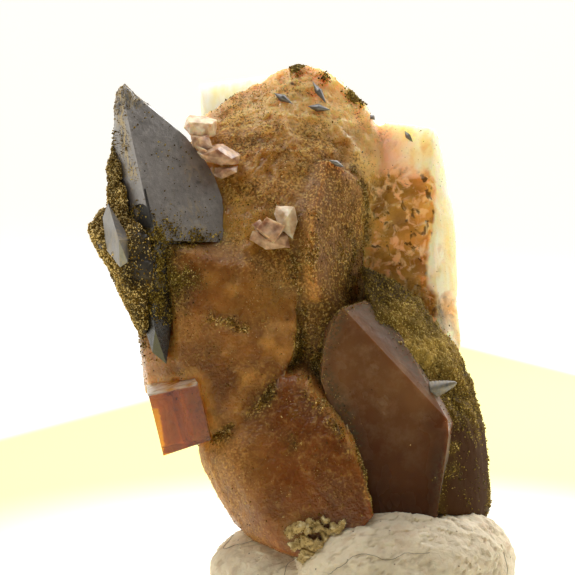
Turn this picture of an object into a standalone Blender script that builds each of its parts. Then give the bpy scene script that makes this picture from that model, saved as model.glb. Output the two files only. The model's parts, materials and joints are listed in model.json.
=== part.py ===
"""Anatase crystal on smoky quartz, held upright in a lump of mounting putty.

A steep grey-blue dipyramid of anatase, 11 mm long, leans out of a body of intergrown smoky
quartz crystals. Golden-green chlorite crusts, pinkish-brown carbonate rhombs and a few tiny
anatase crystals grow on the quartz.

Corner points were measured on the specimen as it is seen from the front, 8 degrees above level:
millimetres across, millimetres up, and millimetres of depth away from the eye.
"""

import bmesh
import bpy
import numpy as np
from math import cos, radians, sin
from mathutils import Matrix, Vector, noise
from mathutils.bvhtree import BVHTree

# Real sizes, in millimetres unless a name says otherwise
MM = 0.001
CONTACT_GAP = 0.1

# How the front view was measured
VIEW_TILT = radians(8.0)
VIEW_DISTANCE = 95.8
VIEW_ACROSS = -2.5
VIEW_UP = 12.5

# Middle of the putty's underside, from the front view's foot point; it is the origin
STAND_RIGHT = 0.4
STAND_BACK = 1.7


def spot(across, up, depth):
    """Place of a point seen at (across, up) on the front view, depth behind its plane."""
    scale = (VIEW_DISTANCE + depth) / VIEW_DISTANCE
    side = VIEW_ACROSS + (across - VIEW_ACROSS) * scale
    rise = VIEW_UP + (up - VIEW_UP) * scale
    back = rise * sin(VIEW_TILT) + depth * cos(VIEW_TILT)
    height = rise * cos(VIEW_TILT) - depth * sin(VIEW_TILT)
    return Vector((side - STAND_RIGHT, back - STAND_BACK, height)) * MM


def clear_scene():
    for old in list(bpy.data.objects):
        bpy.data.objects.remove(old, do_unlink=True)


def new_collection(name):
    collection = bpy.data.collections.new(name)
    bpy.context.scene.collection.children.link(collection)
    return collection


def new_object(name, mesh_data, collection):
    obj = bpy.data.objects.new(name, mesh_data)
    collection.objects.link(obj)
    return obj


def mesh_from(bm, name):
    data = bpy.data.meshes.new(name)
    bm.to_mesh(data)
    bm.free()
    return data


# Shapes

def hull_mesh(points, name="hull"):
    """Convex crystal with these corners."""
    bm = bmesh.new()
    corners = [bm.verts.new(point) for point in points]
    hull = bmesh.ops.convex_hull(bm, input=corners)
    loose = [item for item in hull["geom_interior"] if isinstance(item, bmesh.types.BMVert)]
    bmesh.ops.delete(bm, geom=loose, context="VERTS")
    bmesh.ops.recalc_face_normals(bm, faces=bm.faces)
    return mesh_from(bm, name)


def grown(points, gap):
    """The corners moved so that each face of their hull steps outward by gap millimetres."""
    data = hull_mesh(points)
    around = [[] for _ in data.vertices]
    for face in data.polygons:
        for corner in face.vertices:
            around[corner].append(face.normal[:])
    moved = []
    for vertex, normals in zip(data.vertices, around):
        step = np.linalg.pinv(np.array(normals), rcond=0.05) @ np.full(len(normals), gap * MM)
        moved.append(vertex.co + Vector(step))
    bpy.data.meshes.remove(data)
    return moved


def ripple(place, size, seed):
    """Smooth seeded noise between about -1 and 1, for lumps of this size in millimetres."""
    return noise.fractal(place / (size * MM) + Vector((seed, 2 * seed, -seed)), 0.9, 2.1, 4)


def thinned(data, keep):
    """Mesh with this share of its triangles, the flattest places losing most."""
    obj = new_object("thinned", data, CUTTERS)
    modifier = obj.modifiers.new("thin", "DECIMATE")
    modifier.ratio = keep
    bpy.context.view_layer.update()
    graph = bpy.context.evaluated_depsgraph_get()
    result = bpy.data.meshes.new_from_object(obj.evaluated_get(graph))
    bpy.data.objects.remove(obj, do_unlink=True)
    bpy.data.meshes.remove(data)
    return result


def lump_mesh(points, fineness, roughness, lump_size, seed, gap=0.0, keep=1.0):
    """Rough mass: a ball drawn onto the hull of the corners, then made uneven."""
    hull = hull_mesh(points)
    bm = bmesh.new()
    bm.from_mesh(hull)
    tree = BVHTree.FromBMesh(bm)
    bm.free()
    bpy.data.meshes.remove(hull)
    low = Vector([min(point[i] for point in points) for i in range(3)])
    high = Vector([max(point[i] for point in points) for i in range(3)])
    centre = (low + high) / 2
    ball = bmesh.new()
    bmesh.ops.create_icosphere(ball, subdivisions=fineness, radius=1.0)
    for vertex in ball.verts:
        way = (vertex.co * (high - low)).normalized()
        reach = tree.ray_cast(centre, way)[3]
        bump = roughness * ripple(centre + way * reach, lump_size, seed)
        vertex.co = centre + way * (reach + (bump + gap) * MM)
    bmesh.ops.recalc_face_normals(ball, faces=ball.faces)
    data = mesh_from(ball, "lump")
    return data if keep == 1.0 else thinned(data, keep)


def rhomb_points(centre, edge, turn, lean=0.145):
    """Corners of a carbonate rhomb: a cube sheared along its three edges."""
    shear = Matrix(((1, lean, lean), (lean, 1, lean), (lean, lean, 1)))
    twist = Matrix.Rotation(radians(turn[2]), 3, "Z")
    twist = twist @ Matrix.Rotation(radians(turn[1]), 3, "Y")
    twist = twist @ Matrix.Rotation(radians(turn[0]), 3, "X")
    signs = [Vector((a, b, c)) for a in (-1, 1) for b in (-1, 1) for c in (-1, 1)]
    half = Vector(edge) * 0.5 * MM
    return [centre + twist @ (shear @ (sign * half)) for sign in signs]


def spindle_points(base, tip, width, blunt=0.0):
    """Corners of a small dipyramid from its base tip to its free tip."""
    axis = (tip - base).normalized()
    side = axis.cross(Vector((0.3, -1.0, 0.2))).normalized()
    other = axis.cross(side)
    middle = base.lerp(tip, 0.45)
    belt = [middle + way * width * 0.5 * MM for way in (side, other, -side, -other)]
    ends = [base, tip]
    if blunt:
        ends = [base] + [tip + way * blunt * MM for way in (side, other, -side, -other)]
    return ends + belt


# Joining and cutting

def boolean(obj, helper_data, operation):
    """Joins or cuts with a helper mesh, which is used up."""
    helper = new_object("helper", helper_data, CUTTERS)
    helper.hide_render = True
    helper.display_type = "WIRE"
    modifier = obj.modifiers.new("shape", "BOOLEAN")
    modifier.solver = "EXACT"
    modifier.operation = operation
    modifier.object = helper
    bpy.context.view_layer.update()
    graph = bpy.context.evaluated_depsgraph_get()
    result = bpy.data.meshes.new_from_object(obj.evaluated_get(graph))
    obj.modifiers.remove(modifier)
    old = obj.data
    obj.data = result
    bpy.data.meshes.remove(old)
    bpy.data.objects.remove(helper, do_unlink=True)
    bpy.data.meshes.remove(helper_data)


def keep_largest(obj):
    """Drops crumbs that a cut leaves beside the main body."""
    bm = bmesh.new()
    bm.from_mesh(obj.data)
    bmesh.ops.remove_doubles(bm, verts=bm.verts, dist=0.002 * MM)
    bmesh.ops.dissolve_degenerate(bm, edges=bm.edges, dist=0.002 * MM)
    left = set(bm.verts)
    bodies = []
    while left:
        seed = left.pop()
        body = {seed}
        queue = [seed]
        while queue:
            for edge in queue.pop().link_edges:
                for vertex in edge.verts:
                    if vertex not in body:
                        body.add(vertex)
                        queue.append(vertex)
        left -= body
        bodies.append(body)
    bodies.sort(key=len)
    crumbs = [vertex for body in bodies[:-1] for vertex in body]
    bmesh.ops.delete(bm, geom=crumbs, context="VERTS")
    bm.to_mesh(obj.data)
    bm.free()


# Crystals of the quartz body, as corners on the front view

def upper_mass():
    """Rough dusted upper mass, thick at the middle and receding to its top edge."""
    rim = [
        (-5.8, 19.5, 4.0), (-5.1, 20.1, 4.4), (-4.0, 20.3, 4.6), (-2.7, 20.8, 4.6),
        (-2.5, 21.5, 4.8), (-1.9, 21.6, 4.8), (-1.3, 21.1, 4.6), (0.1, 20.7, 4.4),
        (1.0, 19.7, 4.2), (1.7, 18.5, 4.2), (1.9, 17.6, 4.2), (1.8, 15.0, 4.2),
        (1.2, 12.0, 4.0), (-7.0, 17.6, 3.4), (-7.6, 15.0, 3.2), (-8.0, 12.0, 2.6),
    ]
    front = [
        (-4.8, 18.4, 2.2), (-2.4, 19.4, 2.8), (-0.6, 18.6, 2.6), (-5.0, 16.0, 1.0),
        (-3.4, 16.4, 0.7), (-1.6, 16.2, 0.8), (-0.2, 15.4, 1.4), (-2.2, 13.6, 0.2),
        (-3.6, 13.2, 0.2), (-1.4, 11.4, 0.3),
    ]
    back = [
        (-5.0, 18.6, 6.0), (-2.0, 20.4, 6.2), (0.4, 18.6, 6.0), (1.2, 14.0, 6.4),
        (-2.0, 14.0, 7.2), (-6.4, 15.0, 5.8), (-6.0, 10.0, 6.0), (0.0, 9.0, 6.2),
    ]
    return [spot(*corner) for corner in rim + front + back]


def middle_crystal():
    """Smooth crystal under the large anatase, with an upright edge at its middle."""
    corners = [
        (-7.2, 14.3, -0.5), (-6.2, 14.5, -0.1), (-4.8, 14.5, 0.4), (-4.36, 13.8, -0.7),
        (-4.3, 10.8, -1.0), (-2.2, 12.6, 0.0), (-2.1, 10.1, -0.5), (-2.7, 9.0, -0.7),
        (-4.2, 7.2, -1.1), (-6.1, 6.4, -0.7), (-7.0, 9.6, -0.4), (-7.2, 12.0, -0.4),
        (-7.4, 12.6, 4.0), (-2.6, 12.8, 4.4), (-6.6, 6.4, 4.2), (-2.8, 6.6, 4.6),
    ]
    return [spot(*corner) for corner in corners]


def shaded_crystal():
    """Crystal right of the middle, whose long face turns away to the right."""
    corners = [
        (-1.45, 15.5, 0.3), (-1.5, 14.6, -0.1), (-1.6, 13.4, -0.2), (-1.28, 12.0, -0.1),
        (-0.9, 17.6, 1.7), (0.1, 17.0, 2.1), (0.5, 16.4, 2.5), (0.64, 15.0, 2.7),
        (0.45, 13.4, 2.5), (0.3, 11.6, 1.8), (-3.0, 15.6, 1.6), (-2.8, 11.8, 1.0),
        (-1.0, 11.0, 4.4), (0.4, 16.0, 4.6), (-2.4, 17.4, 3.6),
    ]
    return [spot(*corner) for corner in corners]


def left_flank():
    """Thin translucent wedge behind the chlorite and above the clear block."""
    corners = [
        (-8.5, 11.0, 1.4), (-8.35, 10.2, 0.9), (-8.1, 8.5, 0.7), (-7.3, 8.7, -0.3),
        (-6.4, 9.0, -0.5), (-6.8, 11.0, -0.4), (-7.6, 11.4, 0.1), (-8.3, 12.6, 2.2),
        (-8.2, 8.2, 3.4), (-7.9, 12.0, 4.4), (-6.0, 7.8, 4.2), (-6.0, 12.0, 4.6),
    ]
    return [spot(*corner) for corner in corners]


def clear_block():
    """Clear honey-brown block standing out at the lower left."""
    corners = [
        (-8.07, 8.24, -0.7), (-6.08, 8.68, -1.4), (-5.56, 6.4, -1.4), (-7.46, 5.77, -0.7),
        (-8.12, 8.56, 0.5), (-6.3, 8.98, -0.2), (-7.3, 6.2, 1.4), (-5.4, 6.6, 1.6),
        (-7.8, 8.5, 1.6), (-5.6, 8.9, 1.8),
    ]
    return [spot(*corner) for corner in corners]


def front_crystal():
    """Largest crystal, at the bottom front, with a bright narrow face on its right."""
    corners = [
        (-2.68, 8.96, -0.8), (-2.12, 8.88, -0.9), (-0.04, 6.2, -2.3), (0.5, 4.8, -2.6),
        (0.9, 3.4, -2.7), (-1.9, 9.3, -0.1), (-1.28, 8.7, -0.5), (0.1, 6.6, -1.4),
        (-4.2, 7.2, -1.4), (-5.2, 5.6, -1.7), (-6.32, 6.1, -0.1), (-5.88, 5.0, 0.0),
        (-5.4, 4.3, 0.1), (-4.6, 3.1, -0.2), (-4.28, 2.5, -0.6), (-3.5, 2.0, -1.8),
        (-2.7, 1.62, -2.5), (-2.0, 1.5, -2.6), (-0.4, 1.9, -2.6), (-4.0, 4.6, -2.4),
        (-6.0, 6.2, 3.6), (-1.6, 9.2, 3.6), (0.6, 4.0, 3.2), (-4.4, 2.6, 2.6),
        (-2.0, 1.6, 1.6),
    ]
    return [spot(*corner) for corner in corners]


def right_crystal():
    """Dark crystal at the lower right, with a long bevelled edge running down its face."""
    corners = [
        (-0.28, 11.68, -0.6), (1.3, 9.75, -1.2), (3.0, 8.08, -1.8), (3.9, 7.2, -1.7),
        (0.6, 11.95, 0.3), (1.4, 11.65, 0.4), (3.7, 7.9, -0.8), (3.95, 6.6, -1.4),
        (3.65, 5.6, -1.6), (3.5, 5.0, -1.7), (3.3, 3.2, -1.7), (-0.6, 11.0, -0.3),
        (-0.9, 10.2, -0.5), (-1.1, 8.8, -0.7), (-0.1, 7.2, -1.4), (0.7, 4.8, -1.9),
        (0.9, 2.8, -2.0), (3.6, 2.6, -1.4), (-0.6, 11.4, 3.6), (1.8, 11.2, 3.8),
        (4.2, 7.4, 3.4), (4.2, 2.8, 2.8), (0.4, 2.6, 2.6),
    ]
    return [spot(*corner) for corner in corners]


def pale_right_crystal():
    """Pale crystal behind the right side."""
    corners = [
        (1.4, 19.2, 4.2), (2.0, 18.8, 3.9), (2.6, 18.7, 3.8), (3.32, 18.9, 3.8),
        (3.5, 18.7, 4.2), (3.7, 17.2, 4.0), (4.2, 15.4, 4.0), (4.35, 13.0, 4.0),
        (4.45, 10.2, 3.8), (3.2, 16.1, 2.9), (2.7, 13.4, 2.7), (1.0, 15.8, 3.2),
        (1.2, 12.4, 2.8), (2.6, 9.4, 2.6), (3.9, 8.4, 2.8), (1.2, 18.6, 5.6),
        (2.9, 17.8, 6.0), (4.0, 14.0, 6.4), (3.4, 8.2, 5.2), (1.0, 12.0, 6.9),
        (0.7, 18.2, 4.6), (2.2, 15.6, 6.9),
    ]
    return [spot(*corner) for corner in corners]


def pale_left_crystal():
    """Pale slab behind the upper left edge."""
    corners = [
        (-6.0, 20.6, 5.6), (-4.2, 20.85, 5.8), (-2.6, 21.0, 5.8), (-5.7, 18.8, 5.2),
        (-5.7, 19.7, 6.9), (-3.9, 19.9, 7.6), (-2.2, 20.2, 6.9), (-5.9, 16.6, 5.6),
        (-5.3, 14.6, 6.6), (-3.3, 13.8, 7.6), (-2.0, 19.0, 5.4), (-4.2, 12.6, 6.2),
        (-2.0, 15.6, 7.2),
    ]
    return [spot(*corner) for corner in corners]


def back_crystal():
    """Short crystal standing out of the back, with a six-sided body and a pointed end."""
    root = spot(-2.4, 6.4, 3.0)
    end = spot(-3.4, 11.6, 7.6)
    axis = (end - root).normalized()
    side = axis.cross(Vector((1, 0, 0))).normalized()
    other = axis.cross(side)
    points = [end]
    for turn in range(6):
        angle = radians(60 * turn + 12)
        way = side * cos(angle) + other * sin(angle)
        points.append(root + way * 2.5 * MM)
        points.append(root.lerp(end, 0.55) + way * 2.5 * MM)
    return points


def rotten_hollow():
    """Rough stained hollow between the upper mass and the pale crystal on its right."""
    corners = [
        (0.7, 17.0, 1.2), (1.5, 17.8, 1.6), (2.3, 16.8, 1.4), (2.5, 15.0, 1.0),
        (2.1, 13.4, 1.0), (1.2, 13.2, 0.8), (0.8, 15.0, 1.0), (1.2, 16.4, 4.0),
        (2.1, 16.2, 4.0), (1.9, 14.4, 3.9), (1.1, 14.2, 3.8),
    ]
    return [spot(*corner) for corner in corners]


def foot_mass():
    """Broken lower end of the quartz, inside the putty."""
    corners = [
        (-3.6, 2.2, 0.4), (3.4, 2.4, 0.4), (4.6, 2.4, 2.0), (4.0, 2.0, 4.2),
        (-2.6, 2.0, 4.6), (-4.4, 5.0, 3.6), (4.4, 6.4, 4.6), (-4.6, 7.0, 5.6),
        (2.0, 9.0, 6.2), (-3.0, 9.6, 6.4), (4.4, 6.0, 1.2), (-1.0, 4.0, -0.4),
    ]
    return [spot(*corner) for corner in corners]


QUARTZ_CRYSTALS = (
    middle_crystal, shaded_crystal, left_flank, clear_block, front_crystal,
    right_crystal, pale_right_crystal, pale_left_crystal, back_crystal,
)


def quartz_meshes(gap=0.0):
    """Meshes of all the intergrown crystals, grown by a gap when they cut their neighbours."""
    meshes = [
        lump_mesh(upper_mass(), 5, 0.32, 1.7, 3, gap, keep=0.55),
        lump_mesh(foot_mass(), 3, 0.25, 1.5, 8, gap),
    ]
    for crystal in QUARTZ_CRYSTALS:
        points = grown(crystal(), gap) if gap else crystal()
        meshes.append(hull_mesh(points))
    return meshes


# Anatase

def big_face_spot(across, up):
    """Point of the large right-hand face, a plane that recedes upward and to the right."""
    return spot(across, up, -2.11 + 0.6165 * across + 0.4127 * up)


def large_anatase():
    """Steep dipyramid: broken tip, convex right outline, tail running down the flank."""
    right_outline = [(-8.36, 20.0), (-7.12, 18.96), (-6.1, 17.95), (-5.12, 16.08)]
    points = [big_face_spot(*corner) for corner in right_outline]
    points += [big_face_spot(-8.96, 19.6), big_face_spot(-8.36, 17.6)]
    points += [spot(-9.0, 20.68, 1.0), spot(-9.36, 20.3, 1.5), spot(-9.3, 19.6, 1.0)]
    points += [spot(-7.84, 14.4, -1.0), spot(-4.84, 14.3, 0.8), spot(-6.6, 15.0, 3.7)]
    points += [spot(-9.68, 15.4, 2.0), spot(-9.52, 17.6, 1.7)]
    points += [spot(-7.32, 9.44, -0.45), spot(-7.7, 10.7, -0.5)]
    return points


def side_anatase():
    """Smaller crystal at the lower left of the large one."""
    corners = [
        (-9.68, 15.88, 0.2), (-9.9, 15.3, 0.2), (-9.25, 14.4, -1.5), (-8.76, 14.4, -1.0),
        (-8.88, 13.5, -1.2), (-9.2, 13.3, -1.1), (-9.75, 14.0, 0.0), (-9.1, 14.6, 1.2),
    ]
    return [spot(*corner) for corner in corners]


SMALL_ANATASES = {
    "anatase_small_top_left": ((-3.04, 20.28, 3.6), (-2.3, 19.85, 3.1), 0.36),
    "anatase_small_top_middle": ((-1.5, 20.75, 4.05), (-0.95, 19.85, 3.3), 0.34),
    "anatase_small_top_right": ((-1.7, 19.75, 3.2), (-0.78, 19.6, 3.15), 0.36),
}


def right_small_anatase():
    """Pale striated crystal on the right-hand crust, with its blunt end to the left."""
    return spindle_points(spot(3.05, 8.45, -0.9), spot(4.26, 8.68, -0.95), 0.56)


# Chlorite crusts, carbonate rhombs and putty

def left_crust():
    corners = [
        (-10.6, 15.1, 1.4), (-10.1, 15.6, 1.4), (-9.9, 15.9, 1.5), (-9.3, 16.0, 0.8),
        (-8.5, 15.4, -0.9), (-7.6, 15.0, -1.4), (-7.1, 14.3, -1.3), (-7.2, 13.0, -1.4),
        (-7.5, 11.6, -1.3), (-7.95, 10.8, -1.0), (-8.3, 10.3, 0.6), (-8.6, 11.1, 1.3),
        (-9.0, 12.3, 1.3), (-9.5, 13.1, 1.3), (-10.1, 13.8, 1.3), (-10.4, 14.5, 1.3),
        (-9.5, 14.0, -0.9), (-8.7, 12.6, -1.5), (-8.2, 14.0, -1.9), (-9.4, 15.4, 2.8),
        (-8.8, 12.6, 3.0), (-10.1, 14.4, 2.5),
    ]
    return [spot(*corner) for corner in corners]


def right_crust():
    corners = [
        (0.2, 13.9, 1.6), (0.8, 13.4, 1.2), (2.0, 13.2, 1.8), (2.6, 12.6, 1.8),
        (3.2, 11.6, 1.8), (3.8, 10.4, 1.8), (4.5, 10.0, 2.0), (5.05, 8.9, 2.0),
        (5.2, 8.0, 2.0), (5.5, 7.0, 2.0), (5.75, 6.0, 2.0), (5.85, 4.8, 2.0),
        (5.9, 3.6, 2.0), (5.9, 2.9, 2.0), (0.6, 12.1, 0.0), (1.6, 11.7, 0.2),
        (3.6, 8.0, -0.9), (4.0, 6.4, -1.2), (3.7, 5.0, -1.6), (4.4, 3.2, -1.5),
        (2.8, 10.8, 0.3), (4.6, 8.4, 0.2), (5.2, 6.0, 0.1), (5.3, 3.4, 0.2),
        (4.4, 9.0, 4.4), (5.2, 6.0, 4.2), (5.2, 3.2, 3.8), (3.6, 5.0, 4.6),
    ]
    return [spot(*corner) for corner in corners]


FOOT_CRUST_LUMPS = (
    ((-1.5, 2.3, -2.6), 0.58), ((-0.45, 2.75, -2.7), 0.42), ((-2.2, 2.9, -2.5), 0.4),
    ((-1.3, 3.15, -2.55), 0.36), ((-2.3, 2.1, -2.5), 0.36), ((-0.95, 2.5, -2.7), 0.4),
)

UPPER_RHOMBS = (
    ((-5.95, 18.85, 2.1), (1.2, 0.95, 0.8), (20, 15, 8)),
    ((-5.8, 18.25, 1.6), (0.9, 0.9, 0.7), (-25, 30, 40)),
    ((-5.2, 17.75, 1.1), (1.45, 1.1, 0.45), (42, 14, -12)),
    ((-4.95, 17.15, 0.95), (0.95, 0.75, 0.4), (20, -12, 10)),
)

LOWER_RHOMBS = (
    ((-3.15, 14.85, -0.25), (0.72, 0.6, 0.6), (38, 38, 18)),
    ((-2.6, 15.15, 0.1), (0.72, 0.7, 0.95), (4, -6, 10)),
    ((-3.2, 14.45, 0.1), (0.95, 0.7, 0.45), (20, 20, 42)),
)


def pressed_lump(centre, half_size, seed, fineness):
    """Soft lump flattened on the ground, with shallow hand-pressed swellings."""
    bm = bmesh.new()
    bmesh.ops.create_icosphere(bm, subdivisions=fineness, radius=1.0)
    for vertex in bm.verts:
        way = vertex.co.copy()
        size = 1.0 + 0.06 * ripple(way * 3.0 * MM, 1.7, seed)
        place = Vector([centre[i] + way[i] * half_size[i] * size for i in range(3)])
        place.z = max(place.z, 0.0)
        vertex.co = place * MM
    bmesh.ops.remove_doubles(bm, verts=bm.verts, dist=0.01 * MM)
    bmesh.ops.dissolve_limit(bm, angle_limit=radians(0.5), verts=bm.verts, edges=bm.edges)
    bmesh.ops.recalc_face_normals(bm, faces=bm.faces)
    return mesh_from(bm, "putty")


PUTTY_LUMPS = (
    ((1.5, -1.8, 1.5), (4.6, 4.2, 2.6), 5, 4),
    ((-1.65, -0.2, 1.0), (4.4, 3.9, 1.9), 7, 3),
    ((3.3, -1.6, 1.6), (2.9, 3.5, 2.1), 9, 3),
    ((-0.6, 2.6, 1.1), (4.2, 3.3, 2.3), 11, 3),
)


# Materials

def new_material(name, colour, roughness, metallic=0.0, transmission=0.0):
    material = bpy.data.materials.new(name)
    material.use_nodes = True
    shader = material.node_tree.nodes["Principled BSDF"]
    shader.inputs["Base Color"].default_value = (*colour, 1.0)
    shader.inputs["Roughness"].default_value = roughness
    shader.inputs["Metallic"].default_value = metallic
    shader.inputs["Transmission Weight"].default_value = transmission
    material.diffuse_color = (*colour, 1.0)
    return material


def quartz_material():
    return new_material("smoky_quartz", (0.36, 0.19, 0.08), 0.18, transmission=0.3)


def anatase_material():
    return new_material("anatase", (0.16, 0.16, 0.18), 0.22, metallic=0.6)


def chlorite_material():
    return new_material("chlorite", (0.26, 0.2, 0.06), 0.6)


def carbonate_material():
    return new_material("carbonate", (0.45, 0.3, 0.2), 0.35)


def putty_material():
    return new_material("putty", (0.75, 0.7, 0.62), 0.8)


# The pieces

def finish(obj, material):
    keep_largest(obj)
    obj.data.materials.clear()
    obj.data.materials.append(material)


def cut_all(obj, meshes):
    for cutter in meshes:
        boolean(obj, cutter, "DIFFERENCE")


def make_quartz(pockets):
    meshes = quartz_meshes()
    obj = new_object("smoky_quartz", meshes[0], PARTS)
    for other in meshes[1:]:
        boolean(obj, other, "UNION")
    cut_all(obj, [lump_mesh(rotten_hollow(), 3, 0.3, 0.9, 12)])
    cut_all(obj, pockets)
    finish(obj, quartz_material())
    return obj


def make_crystal(name, points, neighbours, material):
    obj = new_object(name, hull_mesh(points), PARTS)
    cut_all(obj, neighbours)
    finish(obj, material)
    return obj


def make_rhombs(name, rhombs, neighbours, material):
    """Rhombs grown through each other, as one solid."""
    bodies = [hull_mesh(rhomb_points(spot(*place), edge, turn)) for place, edge, turn in rhombs]
    obj = new_object(name, bodies[0], PARTS)
    for other in bodies[1:]:
        boolean(obj, other, "UNION")
    cut_all(obj, neighbours)
    finish(obj, material)
    return obj


def grown_rhombs(rhombs):
    return [
        hull_mesh(grown(rhomb_points(spot(*place), edge, turn), CONTACT_GAP))
        for place, edge, turn in rhombs
    ]


def small_anatase_points():
    found = {"anatase_small_right": right_small_anatase()}
    for name, (base, tip, width) in SMALL_ANATASES.items():
        found[name] = spindle_points(spot(*base), spot(*tip), width)
    return found


def crystal_pockets():
    """Pockets for everything that sits in the quartz."""
    cutters = [hull_mesh(grown(large_anatase(), CONTACT_GAP))]
    cutters.append(hull_mesh(grown(side_anatase(), CONTACT_GAP)))
    for points in small_anatase_points().values():
        cutters.append(hull_mesh(grown(points, CONTACT_GAP)))
    return cutters + grown_rhombs(UPPER_RHOMBS) + grown_rhombs(LOWER_RHOMBS)


def foot_crust_mesh(lump, gap=0.0):
    (place, radius) = lump
    centre = spot(*place)
    bm = bmesh.new()
    bmesh.ops.create_icosphere(bm, subdivisions=2, radius=1.0)
    for vertex in bm.verts:
        way = vertex.co.normalized()
        bump = 0.2 * ripple(centre + way * radius * MM, 0.6, 4)
        vertex.co = centre + way * (radius * (1 + bump) + gap) * MM
    bmesh.ops.recalc_face_normals(bm, faces=bm.faces)
    return mesh_from(bm, "foot_crust")


def make_foot_crust(material):
    lumps = [foot_crust_mesh(lump) for lump in FOOT_CRUST_LUMPS]
    obj = new_object("chlorite_foot", lumps[0], PARTS)
    for other in lumps[1:]:
        boolean(obj, other, "UNION")
    cut_all(obj, quartz_meshes(CONTACT_GAP))
    finish(obj, material)
    return obj


def make_crust(name, points, fineness, seed, material):
    obj = new_object(name, lump_mesh(points, fineness, 0.28, 1.1, seed), PARTS)
    cut_all(obj, quartz_meshes(CONTACT_GAP) + crystal_pockets())
    finish(obj, material)
    return obj


def make_putty():
    """Putty pressed round the lower end of the quartz and of its crusts."""
    lumps = [pressed_lump(*lump) for lump in PUTTY_LUMPS]
    obj = new_object("mounting_putty", lumps[0], PARTS)
    for other in lumps[1:]:
        boolean(obj, other, "UNION")
    cut_all(obj, quartz_meshes(CONTACT_GAP))
    cut_all(obj, [lump_mesh(right_crust(), 4, 0.28, 1.1, 6, CONTACT_GAP)])
    cut_all(obj, [foot_crust_mesh(lump, CONTACT_GAP) for lump in FOOT_CRUST_LUMPS])
    finish(obj, putty_material())
    return obj


clear_scene()
PARTS = new_collection("anatase_specimen")
CUTTERS = new_collection("cutters")

anatase = anatase_material()
make_crystal("anatase_large", large_anatase(), [], anatase)
make_crystal("anatase_side", side_anatase(), [hull_mesh(grown(large_anatase(), CONTACT_GAP))],
             anatase)
for small_name, small_points in small_anatase_points().items():
    make_crystal(small_name, small_points, [], anatase)

carbonate = carbonate_material()
large_pocket = hull_mesh(grown(large_anatase(), CONTACT_GAP))
make_rhombs("carbonate_upper", UPPER_RHOMBS, [large_pocket], carbonate)
make_rhombs("carbonate_lower", LOWER_RHOMBS, [], carbonate)

make_quartz(crystal_pockets())

chlorite = chlorite_material()
make_crust("chlorite_left", left_crust(), 4, 2, chlorite)
make_crust("chlorite_right", right_crust(), 4, 6, chlorite)
make_foot_crust(chlorite)
make_putty()
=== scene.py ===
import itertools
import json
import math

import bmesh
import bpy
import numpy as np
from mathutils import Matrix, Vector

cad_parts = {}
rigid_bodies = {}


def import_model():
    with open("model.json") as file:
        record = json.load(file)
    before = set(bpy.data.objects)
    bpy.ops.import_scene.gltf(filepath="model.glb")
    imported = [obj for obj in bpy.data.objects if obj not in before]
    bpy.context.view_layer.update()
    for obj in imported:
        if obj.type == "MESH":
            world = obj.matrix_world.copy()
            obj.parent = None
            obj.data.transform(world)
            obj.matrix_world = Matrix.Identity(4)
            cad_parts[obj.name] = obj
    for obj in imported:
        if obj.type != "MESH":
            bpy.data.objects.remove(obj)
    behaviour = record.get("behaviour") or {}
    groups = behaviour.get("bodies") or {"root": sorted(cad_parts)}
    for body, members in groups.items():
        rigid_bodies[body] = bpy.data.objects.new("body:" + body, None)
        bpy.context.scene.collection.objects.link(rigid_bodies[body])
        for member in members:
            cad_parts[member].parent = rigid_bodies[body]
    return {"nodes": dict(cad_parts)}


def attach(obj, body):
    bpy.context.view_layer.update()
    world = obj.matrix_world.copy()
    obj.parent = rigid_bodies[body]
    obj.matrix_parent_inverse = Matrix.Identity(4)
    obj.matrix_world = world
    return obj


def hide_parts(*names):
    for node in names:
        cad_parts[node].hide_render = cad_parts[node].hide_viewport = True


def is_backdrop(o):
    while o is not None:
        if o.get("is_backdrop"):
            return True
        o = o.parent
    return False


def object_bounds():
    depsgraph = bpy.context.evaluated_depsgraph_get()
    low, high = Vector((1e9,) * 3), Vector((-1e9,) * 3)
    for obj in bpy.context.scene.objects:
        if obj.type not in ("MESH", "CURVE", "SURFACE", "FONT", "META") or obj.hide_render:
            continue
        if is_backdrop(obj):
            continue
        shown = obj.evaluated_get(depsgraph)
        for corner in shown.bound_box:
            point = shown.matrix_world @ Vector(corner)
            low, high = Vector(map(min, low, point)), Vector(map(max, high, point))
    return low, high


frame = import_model()

# %% [markdown]
# # An anatase crystal on smoky quartz
#
# The specimen is about 20 mm tall. A steep, metallic crystal of anatase leans out of a body of
# intergrown smoky quartz. Golden-green chlorite, pinkish carbonate rhombs and a few tiny
# anatases grow on it, and a lump of putty holds it upright.
#
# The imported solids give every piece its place. This lesson builds the finished surfaces over
# them: natural stone has no smooth curves to copy, so nearly every shape here is a sum of flat
# crystal faces and seeded noise, worked out as whole arrays with numpy.

MM = 0.001
solid_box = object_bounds()
print("solids:", sorted(frame["nodes"]))

# %% [markdown]
# ## Measuring from the front
#
# Corners were read off the front view in millimetres: across, up, and depth away from the eye.
# Turning such a reading into a place in space once, in one function, keeps every later value
# readable. The camera stands where the readings were taken, 8 degrees above level.

# %% From a front-view reading to a place, and back
TILT = math.radians(8.0)
EYE_DISTANCE = 95.8
EYE_ACROSS, EYE_UP = -2.5, 12.5
STAND_RIGHT, STAND_BACK = 0.4, 1.7


def spot(across, up, depth):
    """Places in mm: readings spread with distance, are tilted back by TILT, and then moved so
    that the middle of the putty's underside is the origin."""
    across, up, depth = (np.asarray(value, float) for value in (across, up, depth))
    spread = (EYE_DISTANCE + depth) / EYE_DISTANCE
    side = EYE_ACROSS + (across - EYE_ACROSS) * spread
    rise = EYE_UP + (up - EYE_UP) * spread
    back = rise * math.sin(TILT) + depth * math.cos(TILT)
    height = rise * math.cos(TILT) - depth * math.sin(TILT)
    return np.stack([side - STAND_RIGHT, back - STAND_BACK, height], axis=-1)


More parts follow.
